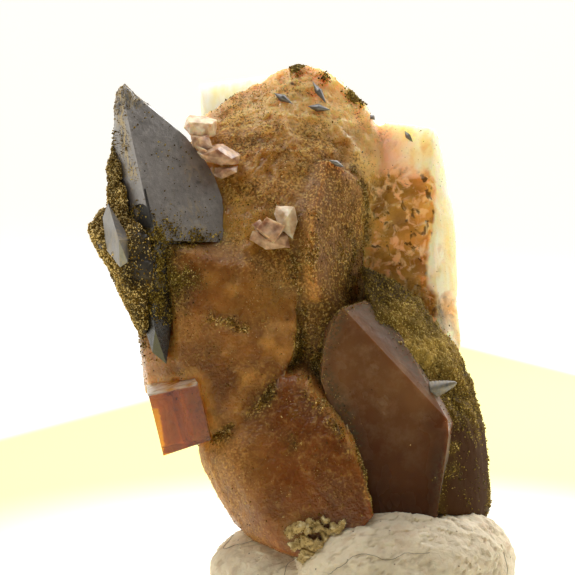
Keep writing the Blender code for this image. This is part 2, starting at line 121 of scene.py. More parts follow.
def front_view(points):
    """The inverse of spot: across, up and depth of each place."""
    side, back, height = points[..., 0] + STAND_RIGHT, points[..., 1] + STAND_BACK, points[..., 2]
    rise = back * math.sin(TILT) + height * math.cos(TILT)
    depth = back * math.cos(TILT) - height * math.sin(TILT)
    spread = (EYE_DISTANCE + depth) / EYE_DISTANCE
    return EYE_ACROSS + (side - EYE_ACROSS) / spread, EYE_UP + (rise - EYE_UP) / spread, depth


def spots(corners):
    return spot(*np.array(corners, float).T)


print("eye is aimed at", spot(EYE_ACROSS, EYE_UP, 0).round(2), "mm")

# %% Camera
aim = spot(EYE_ACROSS, EYE_UP, 0) * MM
look = np.array([0, math.cos(TILT), -math.sin(TILT)])
camera = bpy.data.objects.new("camera", bpy.data.cameras.new("camera"))
bpy.context.scene.collection.objects.link(camera)
camera.data.lens = 150
camera.data.sensor_width = 36
camera.data.clip_start = 0.005
camera.location = aim - look * EYE_DISTANCE * MM
camera.rotation_euler = (math.radians(90) - TILT, 0, 0)
bpy.context.scene.camera = camera
bpy.context.scene.view_settings.view_transform = "Standard"
print("camera at", [round(value / MM, 1) for value in camera.location], "mm")

# %% [markdown]
# ## Noise for natural surfaces
#
# Rock is uneven at every size. A value is fixed for each whole-numbered cell of space, the
# values are blended smoothly between cells, and several sizes are added. Working on arrays of
# places gives the relief of a hundred thousand points in a blink, and always the same one.

# %% Seeded noise


def cell_value(cells, seed):
    """A fixed value between -1 and 1 for each cell: its whole numbers mixed by bit shuffling."""
    whole = cells.astype(np.int64)
    mixed = (whole[..., 0] * 73856093) ^ (whole[..., 1] * 19349663) ^ (whole[..., 2] * 83492791)
    mixed = (mixed ^ (seed * 97861)) * 1274126177
    mixed = (mixed ^ (mixed >> 15)) * 2246822519
    mixed = mixed ^ (mixed >> 13)
    return (mixed & 0xFFFFF) / 0x80000 - 1.0


def ripple(points, size, seed):
    """Smooth noise: the eight cell values around a point, weighted by 3t^2 - 2t^3 each way."""
    place = points / size
    cell = np.floor(place)
    part = place - cell
    ease = part * part * (3 - 2 * part)
    total = np.zeros(points.shape[:-1])
    for corner in itertools.product((0, 1), repeat=3):
        weight = np.where(corner, ease, 1 - ease).prod(-1)
        total += weight * cell_value(cell + corner, seed)
    return total


def cloud(points, size, seed, octaves=4, fade=0.55):
    """Sum of ripples, each half the size and fade times the height of the one before."""
    heights = fade ** np.arange(octaves)
    parts = [height * ripple(points, size / 2 ** k, seed + k) for k, height in enumerate(heights)]
    return sum(parts) / heights.sum() * 1.7


print("noise at three places:", cloud(np.arange(9.0).reshape(3, 3), 1.3, 5).round(2))

# %% [markdown]
# ## Flat-faced crystals
#
# A crystal is the smallest convex body around its corners. Each of its faces gets a fine grid
# of points, so that faces can be slightly wavy as grown ones are. Shallow folds between nearly
# parallel faces are relaxed, while true edges stay crisp and get a narrow bevel to catch light.

# %% Faces of a convex body


def hull(corners, flat=1.5):
    """Points, outlines of faces, outward normals and offsets of the convex body of the corners."""
    body = bmesh.new()
    for corner in corners:
        body.verts.new(corner)
    result = bmesh.ops.convex_hull(body, input=body.verts)
    inner = [item for item in result["geom_interior"] if isinstance(item, bmesh.types.BMVert)]
    bmesh.ops.delete(body, geom=inner, context="VERTS")
    bmesh.ops.dissolve_limit(body, angle_limit=math.radians(flat), verts=body.verts,
                             edges=body.edges)
    bmesh.ops.recalc_face_normals(body, faces=body.faces)
    body.verts.index_update()
    points = np.array([vertex.co[:] for vertex in body.verts])
    outlines = [[vertex.index for vertex in face.verts] for face in body.faces]
    normals = np.array([face.normal[:] for face in body.faces])
    middles = np.array([face.calc_center_median()[:] for face in body.faces])
    body.free()
    return points, outlines, normals, (normals * middles).sum(1)


def outside(points, corners):
    """How far each point is outside the body of the corners, in mm; less than 0 is inside."""
    normals, offsets = hull(corners)[2:]
    return (points @ normals.T - offsets).max(-1)


def facet_grid(corners, steps):
    """Point (i, j) of each face triangle is middle + i/steps of the way to its first corner and
    j/steps of the way from its first to its second corner; equal points are merged."""
    points, outlines = hull(corners)[:2]
    middles = np.array([points[o].mean(0) for o in outlines for _ in o])
    firsts = np.array([points[o[k]] for o in outlines for k in range(len(o))])
    seconds = np.array([points[o[(k + 1) % len(o)]] for o in outlines for k in range(len(o))])
    rows = [(i, j) for i in range(steps + 1) for j in range(i + 1)]
    i, j = np.array(rows).T[:, :, None] / steps
    grid = middles[:, None] + i * (firsts - middles)[:, None] + j * (seconds - firsts)[:, None]
    number = {pair: index for index, pair in enumerate(rows)}
    cells = [(number[a, b], number[a + 1, b], number[a + 1, b + 1]) for a, b in rows if a < steps]
    cells += [(number[a, b], number[a + 1, b + 1], number[a, b + 1])
              for a, b in rows if a < steps and b < a]
    faces = np.array(cells)[None] + (np.arange(len(grid)) * len(rows))[:, None, None]
    keys = (grid.reshape(-1, 3) * 2000).round().astype(np.int64)
    _, first, merged = np.unique(keys, axis=0, return_index=True, return_inverse=True)
    faces = merged.reshape(-1)[faces.reshape(-1, 3)]
    whole = (faces[:, 0] != faces[:, 1]) & (faces[:, 1] != faces[:, 2]) & (faces[:, 2] != faces[:, 0])
    return grid.reshape(-1, 3)[first], faces[whole]


def face_normals(points, faces):
    """Cross product of two sides of each triangle; its length is twice the area."""
    a, b, c = points[faces].transpose(1, 0, 2)
    return np.cross(b - a, c - a)


def relax(points, faces, sharp=24.0, rounds=12):
    """Each point moves halfway to the mean of its neighbours, unless it lies on a true edge."""
    sides = faces[:, [0, 1, 1, 2, 2, 0]].reshape(-1, 2)
    low, high = sides.min(1), sides.max(1)
    order = np.lexsort((high, low))
    pairs = order.reshape(-1, 2)
    normals = face_normals(points, faces)
    normals /= np.linalg.norm(normals, axis=1, keepdims=True) + 1e-12
    turn = (normals[pairs[:, 0] // 3] * normals[pairs[:, 1] // 3]).sum(1)
    first, second = low[pairs[:, 0]], high[pairs[:, 0]]
    edge = turn < math.cos(math.radians(sharp))
    held = np.zeros(len(points), bool)
    held[first[edge]] = held[second[edge]] = True
    count = np.bincount(np.r_[first, second], minlength=len(points))[:, None]
    for _ in range(rounds):
        total = np.stack([np.bincount(np.r_[first, second], np.r_[points[second], points[first]][:, k],
                                      len(points)) for k in range(3)], axis=1)
        points = np.where(held[:, None], points, points * 0.5 + total / count * 0.5)
    return points


def crystal_surface(corners, steps, wave=0.012, seed=1):
    """Grid on the faces, relaxed, then moved along its normals by two sizes of noise."""
    points, faces = facet_grid(corners, steps)
    points = relax(points, faces)
    normals = point_normals(points, faces)
    lift = wave * cloud(points, 1.8, seed) + 0.35 * wave * cloud(points, 0.35, seed + 9)
    return points + normals * lift[:, None], faces


def point_normals(points, faces):
    """Sum of the cross products of the triangles at each point, made one unit long."""
    across = face_normals(points, faces)
    total = np.stack([np.bincount(faces.ravel(), np.repeat(across[:, k], 3), len(points))
                      for k in range(3)], axis=1)
    return total / (np.linalg.norm(total, axis=1, keepdims=True) + 1e-12)


test = facet_grid(spots([(0, 0, 0), (1, 0, 0), (0, 1, 0), (0, 0, 1)]), 4)
print("a corner crystal has", len(test[0]), "points and", len(test[1]), "triangles")

# %% [markdown]
# ## Rough masses
#
# The dusted upper quartz and the crusts have no faces left to see. Their surface is a function
# of two angles: from a middle point, each direction reaches as far as the nearest of the flat
# sides around it, with the sides blended where they meet, plus noise.

# %% A rough mass from directions


def directions(rings, sectors):
    """Grid of unit directions: rings of equal polar angle, closed by one point at each pole."""
    polar = np.linspace(0, math.pi, rings + 1)[1:-1, None]
    around = np.linspace(0, 2 * math.pi, sectors, endpoint=False)[None]
    ways = np.stack([np.sin(polar) * np.cos(around), np.sin(polar) * np.sin(around),
                     np.cos(polar) * np.ones_like(around)], axis=-1).reshape(-1, 3)
    return np.vstack([ways, [[0, 0, 1], [0, 0, -1]]])


def ball_faces(rings, sectors):
    """Two triangles for each cell of the grid, and a fan of triangles at each pole."""
    ring, sector = np.meshgrid(np.arange(rings - 2), np.arange(sectors), indexing="ij")
    after = (sector + 1) % sectors
    a, b = ring * sectors + sector, ring * sectors + after
    c, d = a + sectors, b + sectors
    cells = np.stack([np.stack([a, c, b], -1), np.stack([b, c, d], -1)]).reshape(-1, 3)
    turn = np.arange(sectors)
    top = (rings - 1) * sectors
    last = (rings - 2) * sectors
    caps = [np.stack([np.full(sectors, top), turn, (turn + 1) % sectors], 1),
            np.stack([np.full(sectors, top + 1), last + (turn + 1) % sectors, last + turn], 1)]
    return np.vstack([cells, *caps])


def rough_mass(corners, rings, sectors, relief, hardness=14):
    """Reach of a direction: the inverse power mean of distance / cosine over the flat sides."""
    middle = (corners.min(0) + corners.max(0)) / 2
    normals, offsets = hull(corners)[2:]
    ways = directions(rings, sectors) * (corners.max(0) - corners.min(0))
    ways /= np.linalg.norm(ways, axis=1, keepdims=True)
    closeness = np.clip(ways @ normals.T, 0, None) / (offsets - normals @ middle)
    reach = (closeness ** hardness).sum(1) ** (-1 / hardness)
    points = middle + ways * reach[:, None]
    return points + ways * relief(points)[:, None], ball_faces(rings, sectors)


print("a ball of 20 rings and 30 sectors has", len(ball_faces(20, 30)), "triangles")

# %% [markdown]
# ## Crystals grown together
#
# Several crystals that share one body have no seams to see, so they aren't separate shells.
# A value tells how far a place is outside a crystal. The smallest of these values, blended
# where two are close, tells the same for the whole body, and a walk from outside inward stops
# where it reaches nought. The walk starts all round an axis, so height and angle are the grid.

# %% A surface found by walking inward


def side_values(points, crystal, softness):
    """Distance outside the flat sides of a crystal; softness mm rounds its edges, and may be a
    function of the place."""
    normals, offsets = crystal
    soft = softness(points) if callable(softness) else np.full(len(points), softness)
    values = points @ normals.T - offsets
    most = values.max(1)
    return most + soft * np.log(np.exp((values - most[:, None]) / soft[:, None]).sum(1))


def joined_values(points, crystals, melt):
    """Smooth smallest of the crystals' values, and each crystal's share in it. Like softness,
    melt is in mm and may be a function of the place."""
    values = np.stack([side_values(points, planes, soft) for planes, soft in crystals], axis=1)
    melts = melt(points) if callable(melt) else np.full(len(points), melt)
    least = values.min(1)
    shares = np.exp(-(values - least[:, None]) / melts[:, None])
    return least - melts * np.log(shares.sum(1)), shares / shares.sum(1, keepdims=True)


def grown_body(crystals, low, high, rings, sectors, melt, front=0.0):
    """Starts lie 14 mm out from the axis between low and high, and the directions fan out to a
    pole at each end. A step inward is nine tenths of the value there, 45 times."""
    ways = directions(rings, sectors)
    turn = np.arctan2(ways[:, 0], -ways[:, 1])
    turn = turn - front * np.sin(turn)
    flat = np.hypot(ways[:, 0], ways[:, 1])
    ways = np.stack([flat * np.sin(turn), -flat * np.cos(turn), ways[:, 2]], axis=1)
    roots = (low + high) / 2 + (high - low) / 2 * ways[:, 2:]
    reach = np.full(len(ways), 14.0)
    moving = np.arange(len(ways))
    for _ in range(45):
        places = roots[moving] + ways[moving] * reach[moving, None]
        value = joined_values(places, crystals, melt)[0]
        reach[moving] = np.maximum(reach[moving] - 0.9 * value, 0.3)
        moving = moving[np.abs(value) > 0.004]
    points = roots + ways * reach[:, None]
    return points, ball_faces(rings, sectors), joined_values(points, crystals, 0.3)[1]


print("walks start 14 mm out and take up to 45 steps")

# %% [markdown]
# ## Grains
#
# Chlorite is a crust of flakes about a tenth of a millimetre across. Each is an eight-sided
# double pyramid, the cheapest closed shape that still glints from several sides. Thousands are
# joined into one mesh by array arithmetic, because thousands of objects would be slow.

# %% Scattering and grain arrays


def scatter(points, faces, weight, count, seed):
    """Random places on triangles, chosen by area times weight, and the normals there."""
    chance = np.random.default_rng(seed)
    across = face_normals(points, faces)
    size = np.linalg.norm(across, axis=1)
    total = np.cumsum(size * weight[faces].mean(1))
    chosen = np.searchsorted(total, chance.random(count) * total[-1])
    chosen = np.minimum(chosen, len(faces) - 1)
    share = chance.random((count, 2))
    share = np.where(share.sum(1, keepdims=True) > 1, 1 - share, share)
    a, b, c = points[faces[chosen]].transpose(1, 0, 2)
    places = a + share[:, :1] * (b - a) + share[:, 1:] * (c - a)
    return places, across[chosen] / (size[chosen, None] + 1e-12)


def random_turns(count, chance):
    """Turning matrices from random unit quaternions."""
    w, x, y, z = (lambda q: q / np.linalg.norm(q, axis=0))(chance.normal(size=(4, count)))
    return np.array([[1 - 2 * (y * y + z * z), 2 * (x * y - z * w), 2 * (x * z + y * w)],
                     [2 * (x * y + z * w), 1 - 2 * (x * x + z * z), 2 * (y * z - x * w)],
                     [2 * (x * z - y * w), 2 * (y * z + x * w), 1 - 2 * (x * x + y * y)]]
                    ).transpose(2, 0, 1)


def grain_arrays(places, normals, smallest, largest, seed, lift=0.35):
    """Six corners on three unequal half axes, turned at random, and eight faces for each."""
    chance = np.random.default_rng(seed)
    count = len(places)
    size = smallest + (largest - smallest) * chance.random(count) ** 2.2
    axes = np.vstack([np.eye(3), -np.eye(3)])
    stretch = chance.uniform((0.8, 0.6, 0.35), (1.25, 1.0, 0.7), (count, 3))
    turned = (axes[None] * stretch[:, None]) @ random_turns(count, chance)
    shape = turned * (size / 2)[:, None, None]
    points = (places + normals * (size * lift)[:, None])[:, None] + shape
    octants = [(0, 1, 2), (1, 3, 2), (3, 4, 2), (4, 0, 2), (1, 0, 5), (3, 1, 5), (4, 3, 5), (0, 4, 5)]
    faces = np.array(octants)[None] + (np.arange(count) * 6)[:, None, None]
    tone = np.repeat(chance.random(count), 6)
    return points.reshape(-1, 3), faces.reshape(-1, 3), tone


print("one grain:", grain_arrays(np.zeros((1, 3)), np.zeros((1, 3)), 0.1, 0.1, 1)[0].round(3).tolist())

# %% [markdown]
# ## Materials
#
# A hex colour is written in the way that screens use, so it is turned to linear light first.
# Pattern sizes are real sizes in millimetres: a noise texture's scale is one over the size.

# %% Helpers for node trees


def colour(code):
    """sRGB to linear: each part is ((c + 0.055) / 1.055) ^ 2.4, or c / 12.92 near black."""
    parts = [int(code[k:k + 2], 16) / 255 for k in (1, 3, 5)]
    linear = [c / 12.92 if c <= 0.04045 else ((c + 0.055) / 1.055) ** 2.4 for c in parts]
    return (*linear, 1.0)


def per(size):
    """Texture scale for features of this size in millimetres."""
    return 1 / (size * MM)


def add(tree, kind, settings=None, links=None):
    """Adds a node, sets its properties and sockets by name or number, and joins its inputs."""
    node = tree.nodes.new("ShaderNode" + kind)
    for name, value in (settings or {}).items():
        if isinstance(name, str) and name not in node.inputs:
            setattr(node, name, value)
        else:
            node.inputs[name].default_value = value
    for name, socket in (links or {}).items():
        tree.links.new(socket, node.inputs[name])
    return node


def new_material(name):
    """An empty node tree with an output and a Principled shader joined to it."""
    material = bpy.data.materials.new(name)
    material.use_nodes = True
    tree = material.node_tree
    tree.nodes.clear()
    shader = add(tree, "BsdfPrincipled")
    output = add(tree, "OutputMaterial", {}, {"Surface": shader.outputs["BSDF"]})
    place = add(tree, "TexCoord").outputs["Object"]
    return material, tree, shader, output, place


def blend(tree, share, first, second, kind="MIX"):
    """Colour between first and second; each is a colour or a socket."""
    node = add(tree, "Mix", {"data_type": "RGBA", "blend_type": kind})
    for number, value in ((0, share), (6, first), (7, second)):
        if isinstance(value, bpy.types.NodeSocket):
            tree.links.new(value, node.inputs[number])
        else:
            node.inputs[number].default_value = value
    return node.outputs[2]


print("middle grey in linear light:", round(colour("#808080")[0], 3))

# %% [markdown]
# ### Smoky quartz
#
# Smoky quartz is ordinary quartz browned by natural radiation. Light goes in, wanders between
# veils and comes out reddish, so the shader is subsurface scattering under a glossy skin with
# the refractive index of quartz, 1.544. Cloudy patches and a dusting of chlorite break it up.

# %% Smoky quartz


def smoky_quartz(name, deep, warm, veil, reach=1.3, gloss=0.14, streak=(1, 1, 1)):
    """Grown quartz faces: clouds of two browns, pale veils, and dust where the mesh says so."""
    material, tree, shader, _, place = new_material(name)
    turned = add(tree, "Mapping", {"Scale": streak}, {"Vector": place}).outputs[0]
    clouds = add(tree, "TexNoise", {"Scale": per(2.6), "Detail": 3.0}, {"Vector": turned})
    share = add(tree, "MapRange", {"From Min": 0.36, "From Max": 0.64}, {"Value": clouds.outputs[0]})
    body = blend(tree, share.outputs[0], colour(deep), colour(warm))
    veils = add(tree, "TexNoise", {"Scale": per(0.7), "Detail": 10.0, "Roughness": 0.7},
                {"Vector": turned})
    pale = add(tree, "MapRange", {"From Min": 0.48, "From Max": 0.7, "To Max": 0.55},
               {"Value": veils.outputs[0]})
    body = blend(tree, pale.outputs[0], body, colour(veil))
    shade = add(tree, "Attribute", {"attribute_name": "shade"}).outputs["Fac"]
    body = blend(tree, shade, body, colour("#512b10"))
    dust = add(tree, "Attribute", {"attribute_name": "dust"}).outputs["Fac"]
    specks = add(tree, "TexNoise", {"Scale": per(0.12), "Detail": 2.0}, {"Vector": place})
    dusted = add(tree, "MapRange", {"From Min": 0.42, "From Max": 0.6}, {"Value": specks.outputs[0]})
    dusted = add(tree, "Math", {"operation": "MULTIPLY"}, {0: dusted.outputs[0], 1: dust})
    body = blend(tree, dusted.outputs[0], body, colour("#5f5034"))
    rough = add(tree, "Math", {"operation": "MULTIPLY_ADD", 1: 0.45, 2: gloss}, {0: dust})
    fine = add(tree, "TexNoise", {"Scale": per(0.25), "Detail": 8.0}, {"Vector": turned})
    bump = add(tree, "Bump", {"Strength": 0.5, "Distance": 0.03 * MM}, {"Height": fine.outputs[0]})
    tree.links.new(body, shader.inputs["Base Color"])
    tree.links.new(rough.outputs[0], shader.inputs["Roughness"])
    tree.links.new(bump.outputs[0], shader.inputs["Normal"])
    shader.inputs["IOR"].default_value = 1.544
    shader.inputs["Specular IOR Level"].default_value = 0.4
    shader.inputs["Subsurface Weight"].default_value = 1.0
    shader.inputs["Subsurface Radius"].default_value = (1.0, 0.55, 0.28)
    shader.inputs["Subsurface Scale"].default_value = reach * MM
    return material


right_quartz = smoky_quartz("smoky_quartz", "#6d4222", "#8b613c", "#a68466", 1.0, 0.26)
print("smooth smoky quartz:", right_quartz.name)

# %% [markdown]
# ### Dusted, pale and clear quartz
#
# The upper mass is etched and covered with chlorite dust, so it scatters light at its skin. The
# crystals behind it are thin and nearly white, with rust where water has crept in. The block at
# the lower left is clear: plain transmission, with a volume that absorbs blue light first.

# %% Dusted quartz, pale quartz and the clear block


def dusted_quartz():
    """The intergrown body. Shares stored in the mesh pick tan for the etched upper part, brown
    for the smooth middle, cream for the thin crystal behind and rusty sponge between them;
    chlorite dust lies over all as gold and dark green specks."""
    material, tree, shader, _, place = new_material("dusted_smoky_quartz")
    share = {name: add(tree, "Attribute", {"attribute_name": name}).outputs["Fac"]
             for name in ("tan", "deep", "shade", "thin", "dust", "glow", "pale", "sponge", "moss")}

    def step(value, low, high, most=1.0):
        return add(tree, "MapRange", {"From Min": low, "From Max": high, "To Max": most},
                   {"Value": value}).outputs[0]

    def both(first, second):
        return add(tree, "Math", {"operation": "MULTIPLY"}, {0: first, 1: second}).outputs[0]

    def pattern(size, detail, distortion=0.0):
        return add(tree, "TexNoise", {"Scale": per(size), "Detail": detail,
                                      "Distortion": distortion}, {"Vector": place}).outputs[0]

    clouds = step(pattern(1.7, 4.0, 0.6), 0.38, 0.62)
    brown = blend(tree, clouds, colour("#7f4d1c"), colour("#ae7537"))
    tan = blend(tree, clouds, colour("#a56d20"), colour("#d9a351"))
    body = blend(tree, share["tan"], brown, tan)
    body = blend(tree, share["deep"], body, blend(tree, clouds, colour("#7a4212"), colour("#925420")))
    body = blend(tree, share["shade"], body, colour("#855414"))
    body = blend(tree, share["glow"], body, colour("#d49a50"))
    mottle = pattern(0.34, 4.0, 0.4)
    body = blend(tree, step(mottle, 0.54, 0.7, 0.3), body, colour("#e0ae6a"))
    body = blend(tree, step(mottle, 0.46, 0.32, 0.3), body, colour("#5f3408"))
    streaks = add(tree, "Mapping", {"Scale": (1.8, 1.8, 0.3)}, {"Vector": place}).outputs[0]
    bands = add(tree, "TexNoise", {"Scale": per(0.8), "Detail": 5.0}, {"Vector": streaks})
    cream = blend(tree, step(bands.outputs[0], 0.42, 0.64), colour("#fffbe8"), colour("#ffedc0"))
    body = blend(tree, share["pale"], body, cream)
    # Painted glow: light cream along the edges of the upper mass, where light would shine through.
    body = blend(tree, share["thin"], body, colour("#ffd98e"))
    sponge = pattern(0.38, 8.0, 0.7)
    rust = blend(tree, step(pattern(1.2, 4.0), 0.4, 0.62), colour("#e2ae54"), colour("#ae7a2e"))
    rust = blend(tree, step(sponge, 0.5, 0.62, 0.85), rust, colour("#fbdc9e"))
    rust = blend(tree, step(pattern(0.5, 8.0, 0.6), 0.43, 0.37, 0.85), rust, colour("#5e390a"))
    torn = add(tree, "Math", {"operation": "ADD"}, {0: share["sponge"], 1: pattern(0.7, 8.0, 0.3)})
    body = blend(tree, step(torn.outputs[0], 0.7, 1.15), body, rust)
    grit = pattern(0.1, 2.0)
    body = blend(tree, share["moss"], body, blend(tree, step(grit, 0.4, 0.6), colour("#3f2d08"),
                                                  colour("#8a6c20")))
    body = blend(tree, both(step(grit, 0.48, 0.38, 0.7), share["dust"]), body, colour("#5e450f"))
    body = blend(tree, both(step(grit, 0.54, 0.64, 0.7), share["dust"]), body, colour("#e6bf68"))
    rough = add(tree, "MapRange", {"To Min": 0.22, "To Max": 0.7}, {"Value": share["dust"]})
    fine = add(tree, "Bump", {"Strength": 0.8, "Distance": 0.05 * MM}, {"Height": grit})
    bump = add(tree, "Bump", {"Strength": 0.5, "Distance": 0.08 * MM},
               {"Height": mottle, "Normal": fine.outputs[0]})
    tree.links.new(body, shader.inputs["Base Color"])
    tree.links.new(rough.outputs[0], shader.inputs["Roughness"])
    tree.links.new(bump.outputs[0], shader.inputs["Normal"])
    shader.inputs["IOR"].default_value = 1.544
    shader.inputs["Specular IOR Level"].default_value = 0.35
    shader.inputs["Subsurface Weight"].default_value = 1.0
    shader.inputs["Subsurface Radius"].default_value = (1.0, 0.55, 0.25)
    reach = add(tree, "MapRange", {"To Min": 1.2 * MM, "To Max": 3.0 * MM}, {"Value": share["pale"]})
    tree.links.new(reach.outputs[0], shader.inputs["Subsurface Scale"])
    return material


def pale_quartz():
    """Thin, nearly white quartz, rusty where the mesh says that water has crept in."""
    material, tree, shader, _, place = new_material("pale_quartz")
    streaks = add(tree, "Mapping", {"Scale": (1.6, 1.6, 0.35)}, {"Vector": place}).outputs[0]
    bands = add(tree, "TexNoise", {"Scale": per(0.7), "Detail": 5.0}, {"Vector": streaks})
    share = add(tree, "MapRange", {"From Min": 0.4, "From Max": 0.66}, {"Value": bands.outputs[0]})
    body = blend(tree, share.outputs[0], colour("#fffdf0"), colour("#ffeec8"))
    rust = add(tree, "Attribute", {"attribute_name": "rust"}).outputs["Fac"]
    stain = blend(tree, share.outputs[0], colour("#a8662a"), colour("#6f3f16"))
    body = blend(tree, rust, body, stain)
    bump = add(tree, "Bump", {"Strength": 0.5, "Distance": 0.06 * MM}, {"Height": bands.outputs[0]})
    tree.links.new(body, shader.inputs["Base Color"])
    tree.links.new(bump.outputs[0], shader.inputs["Normal"])
    shader.inputs["Roughness"].default_value = 0.25
    shader.inputs["IOR"].default_value = 1.544
    shader.inputs["Subsurface Weight"].default_value = 1.0
    shader.inputs["Subsurface Radius"].default_value = (1.0, 0.9, 0.7)
    shader.inputs["Subsurface Scale"].default_value = 2.5 * MM
    return material


def clear_quartz():
    """Clear smoky quartz: transmission, with honey-coloured absorption inside."""
    material, tree, shader, output, place = new_material("clear_smoky_quartz")
    scratches = add(tree, "Mapping", {"Scale": (0.3, 1, 3)}, {"Vector": place}).outputs[0]
    fine = add(tree, "TexNoise", {"Scale": per(0.35), "Detail": 4.0}, {"Vector": scratches})
    bump = add(tree, "Bump", {"Strength": 0.25, "Distance": 0.02 * MM}, {"Height": fine.outputs[0]})
    rough = add(tree, "MapRange", {"To Min": 0.02, "To Max": 0.12}, {"Value": fine.outputs[0]})
    tree.links.new(bump.outputs[0], shader.inputs["Normal"])
    tree.links.new(rough.outputs[0], shader.inputs["Roughness"])
    shader.inputs["Base Color"].default_value = colour("#fbf0a4")
    shader.inputs["IOR"].default_value = 1.544
    shader.inputs["Specular IOR Level"].default_value = 0.15
    shader.inputs["Transmission Weight"].default_value = 1.0
    smoke = add(tree, "VolumeAbsorption", {"Color": colour("#f0d91c"), "Density": 2200.0})
    tree.links.new(smoke.outputs[0], output.inputs["Volume"])
    return material


dusted = dusted_quartz()
pale = pale_quartz()
clear = clear_quartz()
print("quartz materials:", dusted.name, pale.name, clear.name)

# %% [markdown]
# ### Anatase, chlorite, carbonate and putty
#
# Anatase bends light more than diamond does, with an index of about 2.5, so its dark faces
# mirror nearly a fifth of the light and look metallic. Chlorite is a golden-green mica-like
# flake. The carbonate is a pinkish, slightly translucent rhomb. The putty is a chalky white
# plastic lump, with creases, specks and fluff.

# %% Anatase


def anatase(name, dark, light, bloom, level=0.5, gloss=0.28):
    """Blue-grey, adamantine: a dark body, mottled and pitted where it was etched, an index of
    2.5, and gold dust where the mesh says so."""
    material, tree, shader, _, place = new_material(name)
    mottle = add(tree, "TexNoise", {"Scale": per(1.1), "Detail": 5.0, "Distortion": 0.5},
                 {"Vector": place})
    share = add(tree, "MapRange", {"From Min": 0.35, "From Max": 0.65}, {"Value": mottle.outputs[0]})
    body = blend(tree, share.outputs[0], colour(dark), colour(light))
    pits = add(tree, "TexNoise", {"Scale": per(0.3), "Detail": 8.0, "Roughness": 0.7},
               {"Vector": place})
    pale = add(tree, "MapRange", {"From Min": 0.52, "From Max": 0.68, "To Max": 0.55},
               {"Value": pits.outputs[0]})
    body = blend(tree, pale.outputs[0], body, colour(bloom))
    deep = add(tree, "MapRange", {"From Min": 0.46, "From Max": 0.34, "To Max": 0.7},
               {"Value": pits.outputs[0]})
    body = blend(tree, deep.outputs[0], body, colour("#2b2723"))
    dust = add(tree, "Attribute", {"attribute_name": "dust"}).outputs["Fac"]
    drawn = add(tree, "Mapping", {"Scale": (1, 1, 0.35)}, {"Vector": place}).outputs[0]
    grit = add(tree, "TexNoise", {"Scale": per(0.13), "Detail": 4.0}, {"Vector": drawn})
    cover = add(tree, "MapRange", {"From Min": 0.46, "From Max": 0.56}, {"Value": grit.outputs[0]})
    cover = add(tree, "Math", {"operation": "MULTIPLY"}, {0: cover.outputs[0], 1: dust})
    body = blend(tree, cover.outputs[0], body, colour("#b3975a"))
    shade = add(tree, "Attribute", {"attribute_name": "shade"}).outputs["Fac"]
    body = blend(tree, shade, body, colour("#141211"))
    rough = add(tree, "MapRange", {"From Min": 0.3, "From Max": 0.7, "To Min": gloss,
                                   "To Max": gloss + 0.1}, {"Value": pits.outputs[0]})
    rough = add(tree, "Math", {"operation": "MULTIPLY_ADD", 1: 0.3}, {0: dust, 2: rough.outputs[0]})
    ribs = add(tree, "Mapping", {"Scale": (1, 1, 6)}, {"Vector": place}).outputs[0]
    fine = add(tree, "TexNoise", {"Scale": per(0.9), "Detail": 6.0}, {"Vector": ribs})
    bump = add(tree, "Bump", {"Strength": 0.25, "Distance": 0.02 * MM}, {"Height": fine.outputs[0]})
    etched = add(tree, "Bump", {"Strength": 0.5, "Distance": 0.05 * MM},
                 {"Height": pits.outputs[0], "Normal": bump.outputs[0]})
    tree.links.new(body, shader.inputs["Base Color"])
    tree.links.new(rough.outputs[0], shader.inputs["Roughness"])
    tree.links.new(etched.outputs[0], shader.inputs["Normal"])
    shader.inputs["IOR"].default_value = 2.5
    shader.inputs["Specular IOR Level"].default_value = level
    return material


anatase_skin = anatase("anatase", "#665f5f", "#756e6e", "#9b9494")
etched_anatase = anatase("etched_anatase", "#76706a", "#87817b", "#a29b93", 0.3, 0.5)
shaded_anatase = anatase("anatase_in_shade", "#23201e", "#34312e", "#55504a", 0.2, 0.2)
# A near-black, barely reflecting anatase for the painted shadow on the large crystal.
painted_shadow_anatase = anatase("anatase_painted_shadow", "#171514", "#26231f", "#3a3733", 0.08, 0.4)
print("anatase index:", anatase_skin.node_tree.nodes["Principled BSDF"].inputs["IOR"].default_value)

# %% Chlorite, carbonate and putty


def chlorite(name, dark, mid, light, bare="#4a4744", bare_rough=0.35):
    """Each grain's own tone picks between three colours. Where the mesh is marked bare, the
    mineral under the crust shows."""
    material, tree, shader, _, place = new_material(name)
    tone = add(tree, "Attribute", {"attribute_name": "tone"}).outputs["Fac"]
    low = add(tree, "MapRange", {"From Max": 0.5}, {"Value": tone})
    body = blend(tree, low.outputs[0], colour(dark), colour(mid))
    high = add(tree, "MapRange", {"From Min": 0.65, "From Max": 1.0}, {"Value": tone})
    body = blend(tree, high.outputs[0], body, colour(light))
    patch = add(tree, "TexNoise", {"Scale": per(1.3), "Detail": 4.0}, {"Vector": place})
    share = add(tree, "MapRange", {"From Min": 0.45, "From Max": 0.65, "To Max": 0.5},
                {"Value": patch.outputs[0]})
    body = blend(tree, share.outputs[0], body, colour(dark))
    skin = add(tree, "Attribute", {"attribute_name": "bare"}).outputs["Fac"]
    body = blend(tree, skin, body, colour(bare))
    rough = add(tree, "MapRange", {"To Min": 0.65, "To Max": bare_rough}, {"Value": skin})
    grit = add(tree, "TexNoise", {"Scale": per(0.08), "Detail": 3.0}, {"Vector": place})
    bump = add(tree, "Bump", {"Strength": 0.5, "Distance": 0.03 * MM}, {"Height": grit.outputs[0]})
    tree.links.new(body, shader.inputs["Base Color"])
    tree.links.new(rough.outputs[0], shader.inputs["Roughness"])
    tree.links.new(bump.outputs[0], shader.inputs["Normal"])
    shader.inputs["IOR"].default_value = 1.6
    shader.inputs["Specular IOR Level"].default_value = 0.12
    return material


